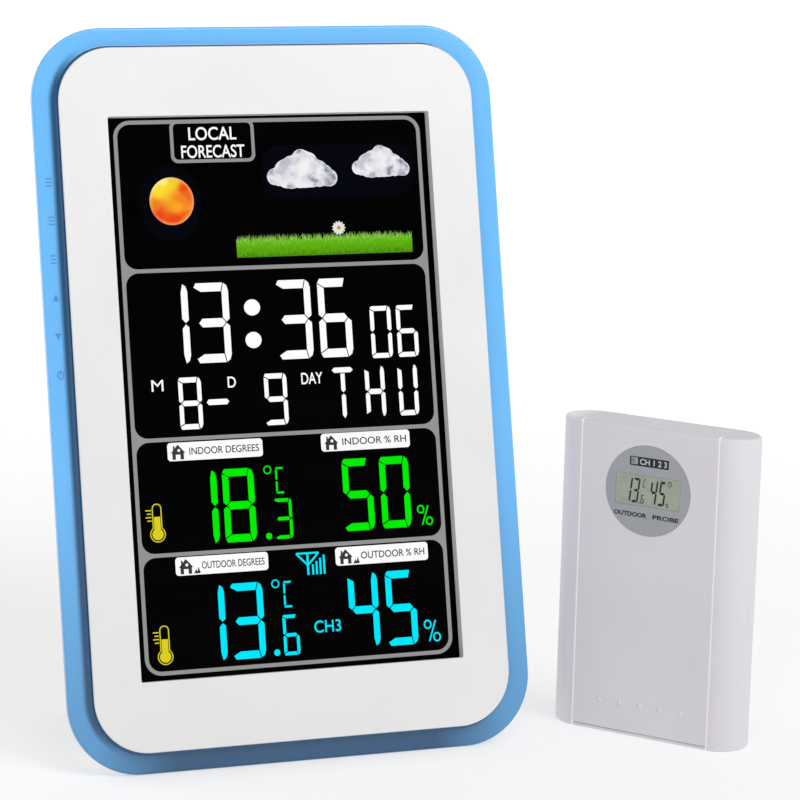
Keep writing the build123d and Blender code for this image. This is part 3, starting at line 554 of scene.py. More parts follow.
def rim_with_painted_shade(name, settings):
    """The rim's glossy blue, with the step that rises from it painted a deeper blue as painted shade.

    Height above the rim's front chooses the tone: the rim, the painted shade of the step's wall, and a darker
    painted shadow in the seam under the panel. The painted shade also runs along the toe of the step at its
    left, and the rim is painted darker towards its foot, deepest along the middle of its bottom edge.
    """
    material, tree, shader = new_shader(name, 0.2, coat=0.5, coat_roughness=0.12, specular=0.35)
    place = coordinates(tree, RIM)
    across, up, out = axes_of(tree, place)
    rim, step = tuple(settings.rim), tuple(settings.step)
    # painted shade: the rim is painted darker from its middle down towards its foot
    low = spread(tree, up, 0, 0.62, -20.0, -88.0)
    toned = laid_over(tree, low, solid(tree, rim), shade(rim, 0.38))
    # painted shade: a deep tone along the middle of the rim's bottom edge, where the floor shades it
    middle = spread(tree, size_of(tree, across), 0, 1, 58.0, 36.0)
    foot = product(tree, spread(tree, up, 0, 0.95, -88.0, -92.0), middle)
    toned = laid_over(tree, foot, toned, shade(step, 0.62))
    # painted shade: a deep tone along the toe of the step on its left side
    left = spread(tree, across, 0, 1, -50.0, -57.0)
    toe = product(tree, within(tree, place, 2.5, 1.3, PANEL_HALF_ACROSS, PANEL_HALF_HIGH, PANEL_CORNER), left)
    toned = laid_over(tree, toe, toned, shade(step, 0.85))
    # painted shade: the step's wall takes the deeper blue that stands in for the shade on it
    toned = laid_over(tree, spread(tree, out, 0, 1, 0.004, 0.03), toned, step)
    # painted shadow: a darker tone in the seam under the panel
    toned = laid_over(tree, spread(tree, out, 0, 1, 0.92, 1.1), toned, shade(step, 0.28))
    drift = noise(tree, coordinates(tree), 18, detail=2)
    tree.links.new(laid_over(tree, spread(tree, drift, 0.0, 0.06), toned, shade(rim, 0.6)),
                   shader.inputs["Base Color"])
    fine = noise(tree, coordinates(tree), 900, detail=2)
    tree.links.new(spread(tree, fine, 0.16, 0.27), shader.inputs["Roughness"])
    relief(tree, shader, fine, 0.002 * MM)
    return material


def unit_shell(name, colour, grain):
    """The outdoor unit's plastic, with painted light: its left side painted paler, a painted highlight along
    the two grooves of its front, and a faint painted glow deep in them.
    """
    material = moulded(name, colour, 0.45, grain, 0.012)
    tree, shader = material.node_tree, material.node_tree.nodes["Principled BSDF"]
    across, _, out = axes_of(tree, coordinates(tree, DISC))
    plain = shader.inputs["Base Color"].links[0].from_socket
    # painted light: the left side is painted paler, as if lit from the left
    side = laid_over(tree, spread(tree, across, 0, 1, -20.3, -25.0), plain, shade(colour, 1.26))
    # painted highlight: a paler line along each groove of the front, brightest on the front face
    away = size_of(tree, arithmetic(tree, "SUBTRACT", size_of(tree, across), GROOVE))
    groove = spread(tree, away, 1, 0, 0.12, 0.3)
    front = product(tree, groove, spread(tree, out, 0, 1, -2.5, -2.0))
    deep = product(tree, front, spread(tree, out, 0.3, 0, -0.3, -0.03))
    tree.links.new(laid_over(tree, front, side, shade(colour, 1.2)), shader.inputs["Base Color"])
    # painted glow: the grooves glow faintly deep inside, against the shade in them
    shader.inputs["Emission Color"].default_value = (*shade(colour, 1.4), 1)
    feed(tree, shader, "Emission Strength", deep)
    return material


def black_glass(name):
    """Polished display glass, black behind, with a trace of wiping in its gloss."""
    material, tree, shader = new_shader(name, 0.16, specular=0.01)
    wiped = noise(tree, stretched(tree, coordinates(tree, DISPLAY), (0.02, 0.09, 1)), 1.0, detail=3)
    tree.links.new(tones(tree, wiped, ((0.3, (0.0003, 0.0003, 0.0004)), (0.7, (0.0008, 0.0008, 0.001)))),
                   shader.inputs["Base Color"])
    tree.links.new(spread(tree, wiped, 0.12, 0.24), shader.inputs["Roughness"])
    return material


def grey_display(name, colour):
    """A reflective display: a grey-green ground with a fine dotted grain and slow patches."""
    material, tree, shader = new_shader(name, 0.3, coat=0.5, coat_roughness=0.08, specular=0.4)
    place = coordinates(tree, SENSOR_GLASS)
    fine = noise(tree, place, 9.0, detail=2)
    slow = noise(tree, place, 0.35, detail=2)
    mixed = arithmetic(tree, "ADD", product(tree, fine, 0.35), product(tree, slow, 0.65))
    stops = ((0.35, shade(colour, 0.9)), (0.65, shade(colour, 1.06)))
    tree.links.new(tones(tree, mixed, stops), shader.inputs["Base Color"])
    return material


def brushed_print(name, colour):
    """Silver-grey print with fine level brushing."""
    material, tree, shader = new_shader(name, 0.42, metallic=0.15, specular=0.4)
    place = stretched(tree, coordinates(tree, DISC), (0.25, 9.0, 1))
    lines = noise(tree, place, 1.0, detail=4)
    stops = ((0.3, shade(colour, 0.93)), (0.7, shade(colour, 1.05)))
    tree.links.new(tones(tree, lines, stops), shader.inputs["Base Color"])
    tree.links.new(spread(tree, lines, 0.36, 0.5), shader.inputs["Roughness"])
    relief(tree, shader, lines, 0.003 * MM)
    return material


def solder_mask(name, face, colour):
    """Green solder mask over level and upright copper tracks, on a face."""
    material, tree, shader = new_shader(name, 0.35, coat=0.3)
    tracks = node(tree, "TexBrick", {
        "Vector": coordinates(tree, face), "Scale": 1.0, "Mortar Size": 0.12, "Brick Width": 7.0,
        "Row Height": 1.3, "Color1": (*colour, 1), "Color2": (*shade(colour, 0.85), 1),
        "Mortar": (*shade(colour, 2.2), 1)}, "Color").node
    tree.links.new(tracks.outputs["Color"], shader.inputs["Base Color"])
    relief(tree, shader, tracks.outputs["Fac"], 0.03 * MM)
    return material


def cell_wrap(name, cell, axis):
    """A shrink-wrapped cell: bare ends, a dark body and a copper-coloured band by its nub, along an axis."""
    low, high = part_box(cell)
    material, tree, shader = new_shader(name, 0.3, coat=0.6)
    number = "XYZ".index(axis)
    along = spread(tree, axes_of(tree, coordinates(tree))[number], 0, 1, low[number], high[number])
    steel, body, copper = (0.62, 0.62, 0.6), (0.025, 0.028, 0.034), (0.55, 0.24, 0.08)
    bands = ((0.0, steel), (0.025, body), (0.74, copper), (0.955, steel))
    tree.links.new(tones(tree, along, bands, "CONSTANT"), shader.inputs["Base Color"])
    bare = ((0.0, (1, 1, 1)), (0.025, (0, 0, 0)), (0.74, (0.6, 0.6, 0.6)), (0.955, (1, 1, 1)))
    tree.links.new(tones(tree, along, bare, "CONSTANT"), shader.inputs["Metallic"])
    scuffs = noise(tree, coordinates(tree), 900, detail=3)
    tree.links.new(spread(tree, scuffs, 0.22, 0.4), shader.inputs["Roughness"])
    relief(tree, shader, scuffs, 0.006 * MM)
    return material


def picture_shader(name, level):
    """A lit picture's material, its tree, its shader and its place in the display's millimetres."""
    material, tree, shader = new_shader(name, 0.5, specular=0.01)
    shader.inputs["Base Color"].default_value = (0, 0, 0, 1)
    shader.inputs["Emission Strength"].default_value = level
    return material, tree, shader, coordinates(tree, DISPLAY)


def placed(spots, x, y, size):
    """Dabs given round a picture's own middle, moved to its place and size on the display."""
    return [(x + size * u, y + size * v, size * reach, colour) for u, v, reach, colour in spots]


def rim_light(tree, start):
    """A factor that rises towards a dome's rim, from a share of the way out."""
    share = node(tree, "Attribute", {}, "Fac", attribute_name="share")
    return spread(tree, share, 0, 1, start, 1.0)


def sun_picture(name, settings):
    """The sun's picture: yellow at the upper left, orange, and red patches at the lower left and right.

    A paler line runs round its rim.
    """
    material, tree, shader, place = picture_shader(name, 1.0)
    yellow, red = tuple(settings.sun_light), tuple(settings.sun_dark)
    orange = (0.83, 0.2, 0.012)
    flow = noise(tree, place, 0.55, detail=4, rough=0.55)
    ground = tones(tree, flow, ((0.35, (0.84, 0.15, 0.015)), (0.65, (0.94, 0.3, 0.02))))
    spots = ((-0.45, 0.0, 0.8, (0.93, 0.42, 0.02)), (-0.3, 0.75, 0.85, yellow), (-0.6, 0.48, 0.55, yellow),
             (-0.5, -0.32, 0.55, (0.88, 0.18, 0.02)), (0.1, 0.85, 0.5, shade(yellow, 0.88)),
             (0.55, 0.5, 0.42, red), (0.75, 0.2, 0.4, (0.85, 0.13, 0.02)), (-0.1, -0.85, 0.55, red),
             (-0.55, -0.6, 0.5, red), (0.2, -0.72, 0.4, red), (0.22, -0.25, 0.42, (1.0, 0.38, 0.02)),
             (-0.7, -0.1, 0.3, orange), (-0.32, 0.85, 0.3, (1.0, 0.9, 0.3)))
    painted = dabs(tree, place, ground, placed(spots, SUN_X, SUN_Y, SUN_R))
    edge = dabs(tree, place, solid(tree, (1.0, 0.43, 0.13)),
                placed(((-0.6, 0.75, 0.9, (1.0, 0.86, 0.42)), (-0.8, -0.55, 0.7, (0.95, 0.2, 0.1))),
                       SUN_X, SUN_Y, SUN_R))
    pale = laid_over(tree, product(tree, rim_light(tree, 0.87), 0.75), painted, edge)
    feed(tree, shader, "Emission Color", pale)
    return material


def cloud_picture(name):
    """The clouds' picture: soft white billows, grey-violet hollows and a bright thin rim."""
    material, tree, shader, place = picture_shader(name, 1.0)
    billow = noise(tree, place, 0.35, detail=3, rough=0.5)
    ground = tones(tree, billow, ((0.3, (0.6, 0.6, 0.7)), (0.5, (0.78, 0.78, 0.83)),
                                  (0.66, (0.88, 0.89, 0.89))))
    slate, violet, ash = (0.17, 0.18, 0.23), (0.34, 0.32, 0.4), (0.46, 0.47, 0.54)
    spots = ((-8.9, 0.3, 1.7, slate), (-0.4, 6.4, 1.9, (0.14, 0.14, 0.14)), (-4.7, 3.0, 3.0, ash),
             (3.0, -2.0, 2.1, slate), (7.1, 0.7, 2.4, (0.2, 0.23, 0.29)),
             (8.5, -1.2, 1.7, (0.2, 0.22, 0.29)),
             (7.1, -3.7, 2.6, violet), (-3.5, -4.6, 2.4, violet), (-6.2, 0.4, 2.4, (0.5, 0.5, 0.58)),
             (4.6, 3.4, 1.7, ash), (0.2, 2.4, 2.6, (0.9, 0.91, 0.9)))
    drifted = wandering(tree, place, 0.55, 2.2)
    for x, y, size in CLOUDS:
        ground = dabs(tree, drifted, ground, placed(spots, x, y, size))
    bright = laid_over(tree, product(tree, rim_light(tree, 0.93), 0.55), ground, (0.9, 0.9, 0.95))
    feed(tree, shader, "Emission Color", bright)
    return material


def grass_picture(name, colour):
    """The grass: bright tips over darker roots, streaked upright."""
    material, tree, shader, place = picture_shader(name, 0.95)
    streak = noise(tree, stretched(tree, place, (3.2, 0.8, 1)), 1.0, detail=3)
    rise = spread(tree, axes_of(tree, place)[1], 0, 0.6, GRASS_FOOT, GRASS_TOP + 2.0)
    mixed = arithmetic(tree, "ADD", product(tree, streak, 0.7), rise)
    stops = ((0.2, shade(colour, 0.18)), (0.45, shade(colour, 0.75)), (0.7, colour),
             (0.86, (0.3, 0.6, 0.1)), (1.0, (0.42, 0.62, 0.26)))
    tree.links.new(tones(tree, mixed, stops), shader.inputs["Emission Color"])
    return material


# ---- what a user would change ------------------------------------------------------------------------
class CaseSettings(bpy.types.PropertyGroup):
    rim: FloatVectorProperty(name="Rim", description="Colour of the blue rim", subtype="COLOR",
                             default=(0.13, 0.46, 0.88), min=0, max=1)
    # the step's deep blue is painted shade for the step's wall, its toe, the seam under the panel and the
    # rim's foot
    step: FloatVectorProperty(name="Step", description="Colour of the step between rim and panel",
                              subtype="COLOR", default=(0.005, 0.085, 0.22), min=0, max=1)
    panel: FloatVectorProperty(name="Panel", description="Colour of the front panel", subtype="COLOR",
                               default=(0.715, 0.715, 0.715), min=0, max=1)
    shell: FloatVectorProperty(name="Shell", description="Colour of the rear cover and stand",
                               subtype="COLOR", default=(0.71, 0.71, 0.72), min=0, max=1)
    sensor: FloatVectorProperty(name="Outdoor unit", description="Colour of the outdoor unit's shells",
                                subtype="COLOR", default=(0.655, 0.635, 0.67), min=0, max=1)
    disc: FloatVectorProperty(name="Disc", description="Colour of the outdoor unit's printed disc",
                              subtype="COLOR", default=(0.33, 0.34, 0.365), min=0, max=1)
    grain: FloatProperty(name="Grain", description="Size of the moulded grain", unit="LENGTH",
                         default=0.45 * MM, min=0.05 * MM, max=3 * MM)


class DisplaySettings(bpy.types.PropertyGroup):
    line: FloatProperty(name="Frame line", description="Width of the lines between sections", unit="LENGTH",
                        default=1.05 * MM, min=0.2 * MM, max=3 * MM)
    line_colour: FloatVectorProperty(name="Frame colour", description="Colour of the lines", subtype="COLOR",
                                     default=(0.3, 0.3, 0.3), min=0, max=1)
    clock_colour: FloatVectorProperty(name="Clock", description="Colour of the time and date",
                                      subtype="COLOR", default=(1, 1, 1), min=0, max=1)
    indoor_colour: FloatVectorProperty(name="Indoor", description="Colour of the indoor readings",
                                       subtype="COLOR", default=(0.0, 0.87, 0.0), min=0, max=1)
    outdoor_colour: FloatVectorProperty(name="Outdoor", description="Colour of the outdoor readings",
                                        subtype="COLOR", default=(0.0, 0.83, 1.0), min=0, max=1)
    scale_colour: FloatVectorProperty(name="Thermometer", description="Colour of the thermometer marks",
                                      subtype="COLOR", default=(0.76, 0.66, 0.02), min=0, max=1)
    sun_light: FloatVectorProperty(name="Sun, bright side", description="Bright side of the sun",
                                   subtype="COLOR", default=(0.96, 0.74, 0.035), min=0, max=1)
    sun_dark: FloatVectorProperty(name="Sun, dark side", description="Dark side of the sun",
                                  subtype="COLOR", default=(0.82, 0.065, 0.01), min=0, max=1)
    grass: FloatVectorProperty(name="Grass", description="Colour of the grass", subtype="COLOR",
                               default=(0.13, 0.5, 0.006), min=0, max=1)
    blades: IntProperty(name="Blades", description="Number of blades of grass", default=1300,
                        min=50, max=4000)


class SensorSettings(bpy.types.PropertyGroup):
    ground: FloatVectorProperty(name="Ground", description="Ground of the outdoor unit's display",
                                subtype="COLOR", default=(0.31, 0.34, 0.27), min=0, max=1)
    print_colour: FloatVectorProperty(name="Print", description="Colour of the outdoor unit's print",
                                      subtype="COLOR", default=(0.012, 0.012, 0.016), min=0, max=1)


class StageSettings(bpy.types.PropertyGroup):
    floor: FloatVectorProperty(name="Floor", description="Colour of the floor", subtype="COLOR",
                               default=(0.5, 0.5, 0.505), min=0, max=1)
    heading: FloatProperty(name="Heading", description="The view's turn to the right of straight ahead",
                           subtype="ANGLE", default=math.radians(19.087))
    fall: FloatProperty(name="Fall", description="The view's slope below level", subtype="ANGLE",
                        default=math.radians(12.289))
    roll: FloatProperty(name="Roll", description="The view's roll", subtype="ANGLE",
                        default=math.radians(1.319))
    place: FloatVectorProperty(name="Camera", description="Where the camera stands", subtype="TRANSLATION",
                               default=(-0.22997, -0.73342, 0.265))
    lens: FloatProperty(name="Lens", description="Focal length in millimetres", default=137.48,
                        min=20, max=300)
    # the floor's own glow is painted light: weaker near the object, stronger far off
    near: FloatProperty(name="Near glow", description="How much the floor shines near the object",
                        default=0.5, min=0, max=3)
    far: FloatProperty(name="Far glow", description="How much the floor shines far from the object",
                       default=0.82, min=0, max=3)
    sky: FloatProperty(name="Sky", description="Strength of the light from all round", default=0.45,
                       min=0, max=3)
    key: FloatProperty(name="Key light", description="Power of the main soft light", unit="POWER",
                       default=10.0, min=0, max=500)
    top: FloatProperty(name="Top light", description="Power of the small soft light overhead",
                       unit="POWER", default=0.5, min=0, max=500)
    back: FloatProperty(name="Back light", description="Power of the soft light behind, on the left",
                        unit="POWER", default=6.0, min=0, max=500)


# ---- finishes ----------------------------------------------------------------------------------------
class STATION_OT_cases(bpy.types.Operator):
    """Gives the cases, keys, stand and doors their moulded plastic"""
    bl_idname = "station.cases"
    bl_label = "Case finishes"

    def execute(self, context):
        case = context.scene.station_case
        grain = case.grain / MM
        finish_nodes("rim_blue", rim_with_painted_shade("rim_blue_plastic", case))
        finish_nodes("sensor_shell", unit_shell("sensor_plastic", tuple(case.sensor), grain))
        finish_nodes("disc_grey", brushed_print("disc_print", tuple(case.disc)))
        finish_moulded(
            ("panel_white", "panel_white_plastic", tuple(case.panel), 0.38, 0.8, 0.004),
            ("shell_white", "shell_white_plastic", tuple(case.shell), 0.55, grain, 0.02),
            ("key_blue", "key_plastic", (0.035, 0.13, 0.36), 0.3, 0.6, 0.004, 0.4),
            ("rubber_black", "rubber", (0.03, 0.03, 0.032), 0.8, 0.3, 0.03, 0.0, 0.3),
            ("knob_black", "knob_plastic", (0.06, 0.06, 0.065), 0.5, 0.3, 0.02),
        )
        return {"FINISHED"}


class STATION_OT_glass(bpy.types.Operator):
    """Gives the displays and the backlight stack their glass, acrylic and film"""
    bl_idname = "station.glass"
    bl_label = "Display finishes"

    def execute(self, context):
        finish_nodes("lcd_black", black_glass("display_glass"))
        ground = tuple(context.scene.station_sensor.ground)
        finish_nodes("sensor_lcd", grey_display("outdoor_display", ground))
        finish_moulded(("clear_plastic", "acrylic", (0.8, 0.86, 0.9), 0.1, 2.0, 0.002, 0.8),
                       ("white_film", "reflector_film", (0.9, 0.9, 0.9), 0.6, 1.0, 0.004))
        return {"FINISHED"}


class STATION_OT_electronics(bpy.types.Operator):
    """Gives the boards, chips, switches and holders their materials"""
    bl_idname = "station.electronics"
    bl_label = "Electronics finishes"

    def execute(self, context):
        green = (0.02, 0.16, 0.05)
        console_boards = [packed for packed, slot in SLOTS.items()
                          if slot == "board_green" and not packed.startswith("sensor")]
        finish_nodes("board_green", solder_mask("console_boards", DISPLAY, green), console_boards)
        finish_nodes("board_green", solder_mask("outdoor_board", DISC, green), ["sensor_board"])
        finish_moulded(
            ("chip_black", "chip_epoxy", (0.02, 0.02, 0.022), 0.5, 0.2, 0.01),
            ("led_white", "diode_case", (0.85, 0.78, 0.4), 0.35, 0.3, 0.005, 0.4),
            ("flex_film", "amber_film", (0.48, 0.2, 0.03), 0.3, 1.2, 0.004, 0.4),
            ("holder_black", "holder_plastic", (0.02, 0.02, 0.022), 0.6, 0.5, 0.02),
            ("switch_black", "switch_plastic", (0.035, 0.035, 0.037), 0.5, 0.4, 0.01),
            ("sounder_black", "sounder_plastic", (0.025, 0.025, 0.027), 0.45, 0.4, 0.01),
            ("element_white", "element_case", (0.75, 0.79, 0.84), 0.5, 0.4, 0.01),
        )
        return {"FINISHED"}


class STATION_OT_metals(bpy.types.Operator):
    """Gives the screws, contacts, wires and cells their metal and wrap"""
    bl_idname = "station.metals"
    bl_label = "Metal and cell finishes"

    def execute(self, context):
        finish_nodes("screw_steel", metal("zinc_steel", (0.56, 0.56, 0.55), 0.32))
        finish_nodes("contact_nickel", metal("nickel_spring", (0.66, 0.63, 0.57), 0.22))
        finish_nodes("copper_wire", metal("enamelled_copper", (0.72, 0.3, 0.12), 0.3))
        console_cells = ["console_cell_1", "console_cell_2", "console_cell_3"]
        sensor_cells = ["sensor_cell_1", "sensor_cell_2"]
        finish_nodes("cell_wrap", cell_wrap("console_cell_wrap", console_cells[0], "X"), console_cells)
        finish_nodes("cell_wrap", cell_wrap("outdoor_cell_wrap", sensor_cells[0], "Z"), sensor_cells)
        return {"FINISHED"}


# ---- display pieces ----------------------------------------------------------------------------------
class STATION_OT_sections(bpy.types.Operator):
    """Draws the grey frame round the display's four sections, and the tab that hangs from its top"""
    bl_idname = "station.sections"
    bl_label = "Section lines"

    def execute(self, context):
        display = context.scene.station_display
        line = display.line / MM
        tops = (FRAME_TOP - line, *(d - line / 2 for d in DIVIDERS))
        feet = (*(d + line / 2 for d in DIVIDERS), FRAME_FOOT + line)
        outlines = [rounded_box(FRAME_LEFT, FRAME_FOOT, FRAME_RIGHT, FRAME_TOP, SECTION_RADIUS + line)]
        for top, foot in zip(tops, feet):
            outlines.append(rounded_box(FRAME_LEFT + line, foot, FRAME_RIGHT - line, top, SECTION_RADIUS))
        grey = lit("line_grey", tuple(display.line_colour))
        show_piece("section_lines", [plate(outlines)], grey)

        tab_line = 0.85 * line
        left, foot, right = -27.05, 61.5, -4.0
        outer = rounded_box(left, foot, right, FRAME_TOP - 0.3 * line, 1.9)
        inner = rounded_box(left + tab_line, foot + tab_line, right - tab_line, FRAME_TOP - line, 1.2)
        show_piece("tab_line", [plate([outer, inner], (0.032, 0.062))], grey)
        words = [lettering("LOCAL", -22.0, 67.45, -8.9, 70.95, weight=0.012),
                 lettering("FORECAST", -24.2, 62.75, -6.9, 66.15, weight=0.012)]
        white = lit("lettering_white", tuple(display.clock_colour))
        show_piece("tab_lettering", words, white)
        return {"FINISHED"}


SUN_X, SUN_Y = -27.6, 51.5
SUN_R, SUN_NARROW = 6.3, 0.95           # the sun is a little narrower than it is high
CLOUDS = ((8.65, 58.2, 1.0), (30.85, 59.9, 0.83))     # middle and size of each


class STATION_OT_sun(bpy.types.Operator):
    """Draws the sun as a low polished dome, with the dark blue glow of its picture"""
    bl_idname = "station.sun"
    bl_label = "Sun"

    def execute(self, context):
        glow = plate([ellipse(-28.0, 51.0, 8.4, 10.0)], UNDER)
        night = lit("picture_ground", (0.001, 0.0014, 0.004), uneven=0.3)
        show_piece("sun_glow", [glow], night)
        ball = dome(lambda turn: np.full_like(turn, SUN_R),
                    lambda share, turn: 0.45 * np.sqrt(1.02 - share ** 2))
        ball.transform(Matrix.Diagonal((SUN_NARROW, 1, 1, 1)))
        sun = sun_picture("sun_colours", context.scene.station_display)
        show_piece("sun", [moved(ball, SUN_X, SUN_Y, PRINT[0])], sun)
        return {"FINISHED"}


def cloud_reach(puffs):
    """How far a cloud reaches in each direction, from where that direction leaves each round puff.

    From the middle, a circle at distance d and bearing b with radius r is left at
    d cos(turn - b) + sqrt(r squared - d squared sin squared(turn - b)). The reach is the tenth root of
    the sum of their tenth powers: close to the furthest one, with the notches between puffs softened.
    """
    def reach(turn):
        x, y, radius = np.array(puffs, float).T[:, :, None]
        distance, bearing = np.hypot(x, y), np.arctan2(y, x)
        inside = radius ** 2 - (distance * np.sin(turn - bearing)) ** 2
        edge = distance * np.cos(turn - bearing) + np.sqrt(np.clip(inside, 0, None))
        reaches = np.where(inside >= 0, np.clip(edge, 0, None), 0)
        return (reaches ** 10).sum(0) ** 0.1
    return reach


def cloud_swell(share, turn):
    """A cloud's height: a flattened dome, swelling and falling five times on the way round."""
    return 0.3 + 0.22 * np.sqrt(1.001 - share ** 2) * (1 + 0.3 * np.sin(5 * turn) * share)


class STATION_OT_clouds(bpy.types.Operator):
    """Draws the two clouds as low billowing domes"""
    bl_idname = "station.clouds"
    bl_label = "Clouds"

    def execute(self, context):
        night = bpy.data.materials["picture_ground"]
        glow = plate([rounded_box(-2.7, 51.4, 40.0, 65.6, 5.5)], UNDER)
        show_piece("cloud_glow", [glow], night)
        puffs = ((0.2, 0.4, 4.3), (-0.3, 4.2, 2.0), (1.9, 3.0, 2.3), (4.6, 0.6, 2.5), (7.3, -1.7, 2.1),
                 (4.9, -1.7, 2.1), (-3.2, -2.2, 2.0), (-6.6, -1.2, 2.0), (-7.4, -0.8, 2.0), (-5.0, 0.7, 2.6),
                 (-3.0, 2.1, 2.4), (6.1, -0.7, 2.3), (1.4, -1.5, 2.3), (-4.7, -1.6, 2.2), (-1.2, -1.7, 2.2),
                 (3.0, -1.6, 2.2))
        clouds = []
        for x, y, size in CLOUDS:
            scaled = [(size * a, size * b, size * c) for a, b, c in puffs]
            clouds.append(moved(dome(cloud_reach(scaled), cloud_swell, spokes=160), x, y, PRINT[0]))
        show_piece("clouds", clouds, cloud_picture("cloud_colours"))
        return {"FINISHED"}


GRASS_LEFT, GRASS_RIGHT = -10.7, 38.4
GRASS_FOOT, GRASS_TOP = 36.0, 40.4


class STATION_OT_meadow(bpy.types.Operator):
    """Draws the strip of grass with its blades, and the daisy over it"""
    bl_idname = "station.meadow"
    bl_label = "Meadow"

    def execute(self, context):
        display = context.scene.station_display
        chance = np.random.default_rng(7)
        count = display.blades
        feet = np.zeros((count, 3))
        feet[:, 0] = chance.uniform(GRASS_LEFT + 0.1, GRASS_RIGHT - 0.1, count)
        feet[:, 1] = GRASS_TOP - 0.1 - (GRASS_TOP - GRASS_FOOT - 0.3) * chance.uniform(0, 1, count) ** 3
        feet[:, 2] = PRINT[1] - 0.005
        tips = feet.copy()
        tips[:, 0] = np.clip(feet[:, 0] + chance.normal(0, 0.45, count), GRASS_LEFT, GRASS_RIGHT)
        tips[:, 1] += chance.uniform(0.6, 2.0, count)
        ground = plate([rounded_box(GRASS_LEFT, GRASS_FOOT, GRASS_RIGHT, GRASS_TOP, 0.15)])
        grass = grass_picture("grass_colours", tuple(display.grass))
        blades = spikes(feet, tips, 0.2, 0.05)
        show_piece("meadow", [ground, blades], grass)

        petals = dome(lambda turn: 1.85 * (0.72 + 0.28 * np.abs(np.cos(6.5 * turn))),
                      lambda share, turn: 0.1 + 0.06 * np.cos(6.5 * turn) ** 2 * share, spokes=156)
        white = lit("petal_white", (0.9, 0.9, 0.92), uneven=0.2)
        show_piece("daisy_petals", [moved(petals, 17.9, 43.1, 0.1)], white)
        heart = dome(lambda turn: np.full_like(turn, 0.55),
                     lambda share, turn: 0.16 * np.sqrt(1.02 - share ** 2), rings=8, spokes=32)
        gold = lit("daisy_gold", (0.85, 0.4, 0.03), uneven=0.3)
        show_piece("daisy_heart", [moved(heart, 17.9, 43.1, 0.22)], gold)
        return {"FINISHED"}


class STATION_OT_clock(bpy.types.Operator):
    """Draws the time in large digits, its two dots and the small seconds"""
    bl_idname = "station.clock"
    bl_label = "Clock"

    def execute(self, context):
        outlines = [ellipse(-7.5, 22.7, 2.2, 2.15), ellipse(-7.65, 14.05, 2.2, 2.15)]
        for character, left, width in (("1", -26.85, 2.05), ("3", -23.35, 9.65), ("3", -0.75, 9.65),
                                       ("6", 10.7, 9.3)):
            outlines += digit(character, left, 8.4, width, 21.35, 2.55, 2.05)
        for character, left in (("0", 24.95), ("6", 32.35)):
            outlines += digit(character, left, 7.65, 6.15, 14.2, 1.55, 1.35)
        white = lit("clock_white", tuple(context.scene.station_display.clock_colour), uneven=0.02)
        show_piece("clock_digits", [plate(outlines)], white)
        return {"FINISHED"}


class STATION_OT_date(bpy.types.Operator):
    """Draws the month, the day of the month and the weekday, with their small letters"""
    bl_idname = "station.date"
    bl_label = "Date"

    def execute(self, context):
        outlines = digit("-", -22.3, -8.85, 7.8, 14.0, 1.75, 1.35)
        for character, left, width in (("8", -29.05, 6.45), ("9", -5.65, 6.5), ("T", 13.25, 6.25),
                                       ("H", 22.45, 5.75), ("U", 31.75, 5.75)):
            outlines += digit(character, left, -8.85 if character in "89" else -8.1, width, 13.95, 1.65, 1.4)
        small = [("D", -15.45, 1.75, -13.2, 4.65), ("DAY", 4.85, 1.7, 10.75, 4.75)]
        meshes = [plate(outlines), lettering("M", -36.1, 1.65, -32.9, 4.65)]
        meshes += [lettering(*letter, weight=0.01) for letter in small]
        white = lit("date_white", tuple(context.scene.station_display.clock_colour), uneven=0.02)
        show_piece("date_digits", meshes, white)
        return {"FINISHED"}


def percent(left, bottom, right, top, line=0.42):
    """A percent sign: two small rings and a slanting stroke."""
    width, height = right - left, top - bottom
    across, high = 0.24 * width, 0.21 * height
    slash = stroke((left + 0.3 * width, bottom + 0.04 * height),
                   (right - 0.28 * width, top - 0.04 * height), line)
    return [*ring(left + across, top - high, across, high, line),
            *ring(right - across, bottom + high, across, high, line), slash]


def reading(whole, tenth, whole_boxes, tenth_box, foot, height):
    """A temperature: large digits, a raised degree ring and C, a dot and a small tenth."""
    outlines = []
    for character, (left, width) in zip(whole, whole_boxes):
        outlines += digit(character, left, foot, width, height, BAR, POST)
    left, width = tenth_box
    outlines += ring(left - 1.25, foot + height - 0.95, 1.1, 1.15, 0.32)
    outlines += digit("C", left + 0.75, foot + height - 7.5, 2.95, 7.2, 0.75, 0.7, gap=0.2)
    outlines += digit(tenth, left, foot + 0.1, width, 10.9, 1.15, 1.05, gap=0.22)
    outlines.append(ellipse(left - 1.85, foot + 1.15, 0.85, 0.85))
    return outlines


class STATION_OT_indoor(bpy.types.Operator):
    """Draws the indoor temperature and humidity in green"""
    bl_idname = "station.indoor"
    bl_label = "Indoor readings"

    def execute(self, context):
        green = lit("indoor_green", tuple(context.scene.station_display.indoor_colour))
        warmth = reading("18", "3", ((-22.05, 2.05), (-18.7, 8.85)), (-4.85, 4.95), -39.1, 19.6)
        show_piece("indoor_temperature", [plate(warmth)], green)
        damp = digit("5", 14.4, -38.15, 8.6, 19.5, BAR, POST)
        damp += digit("0", 24.85, -38.05, 8.5, 19.4, BAR, POST)
        damp += percent(34.9, -37.75, 39.3, -32.2)
        show_piece("indoor_humidity", [plate(damp)], green)
        return {"FINISHED"}


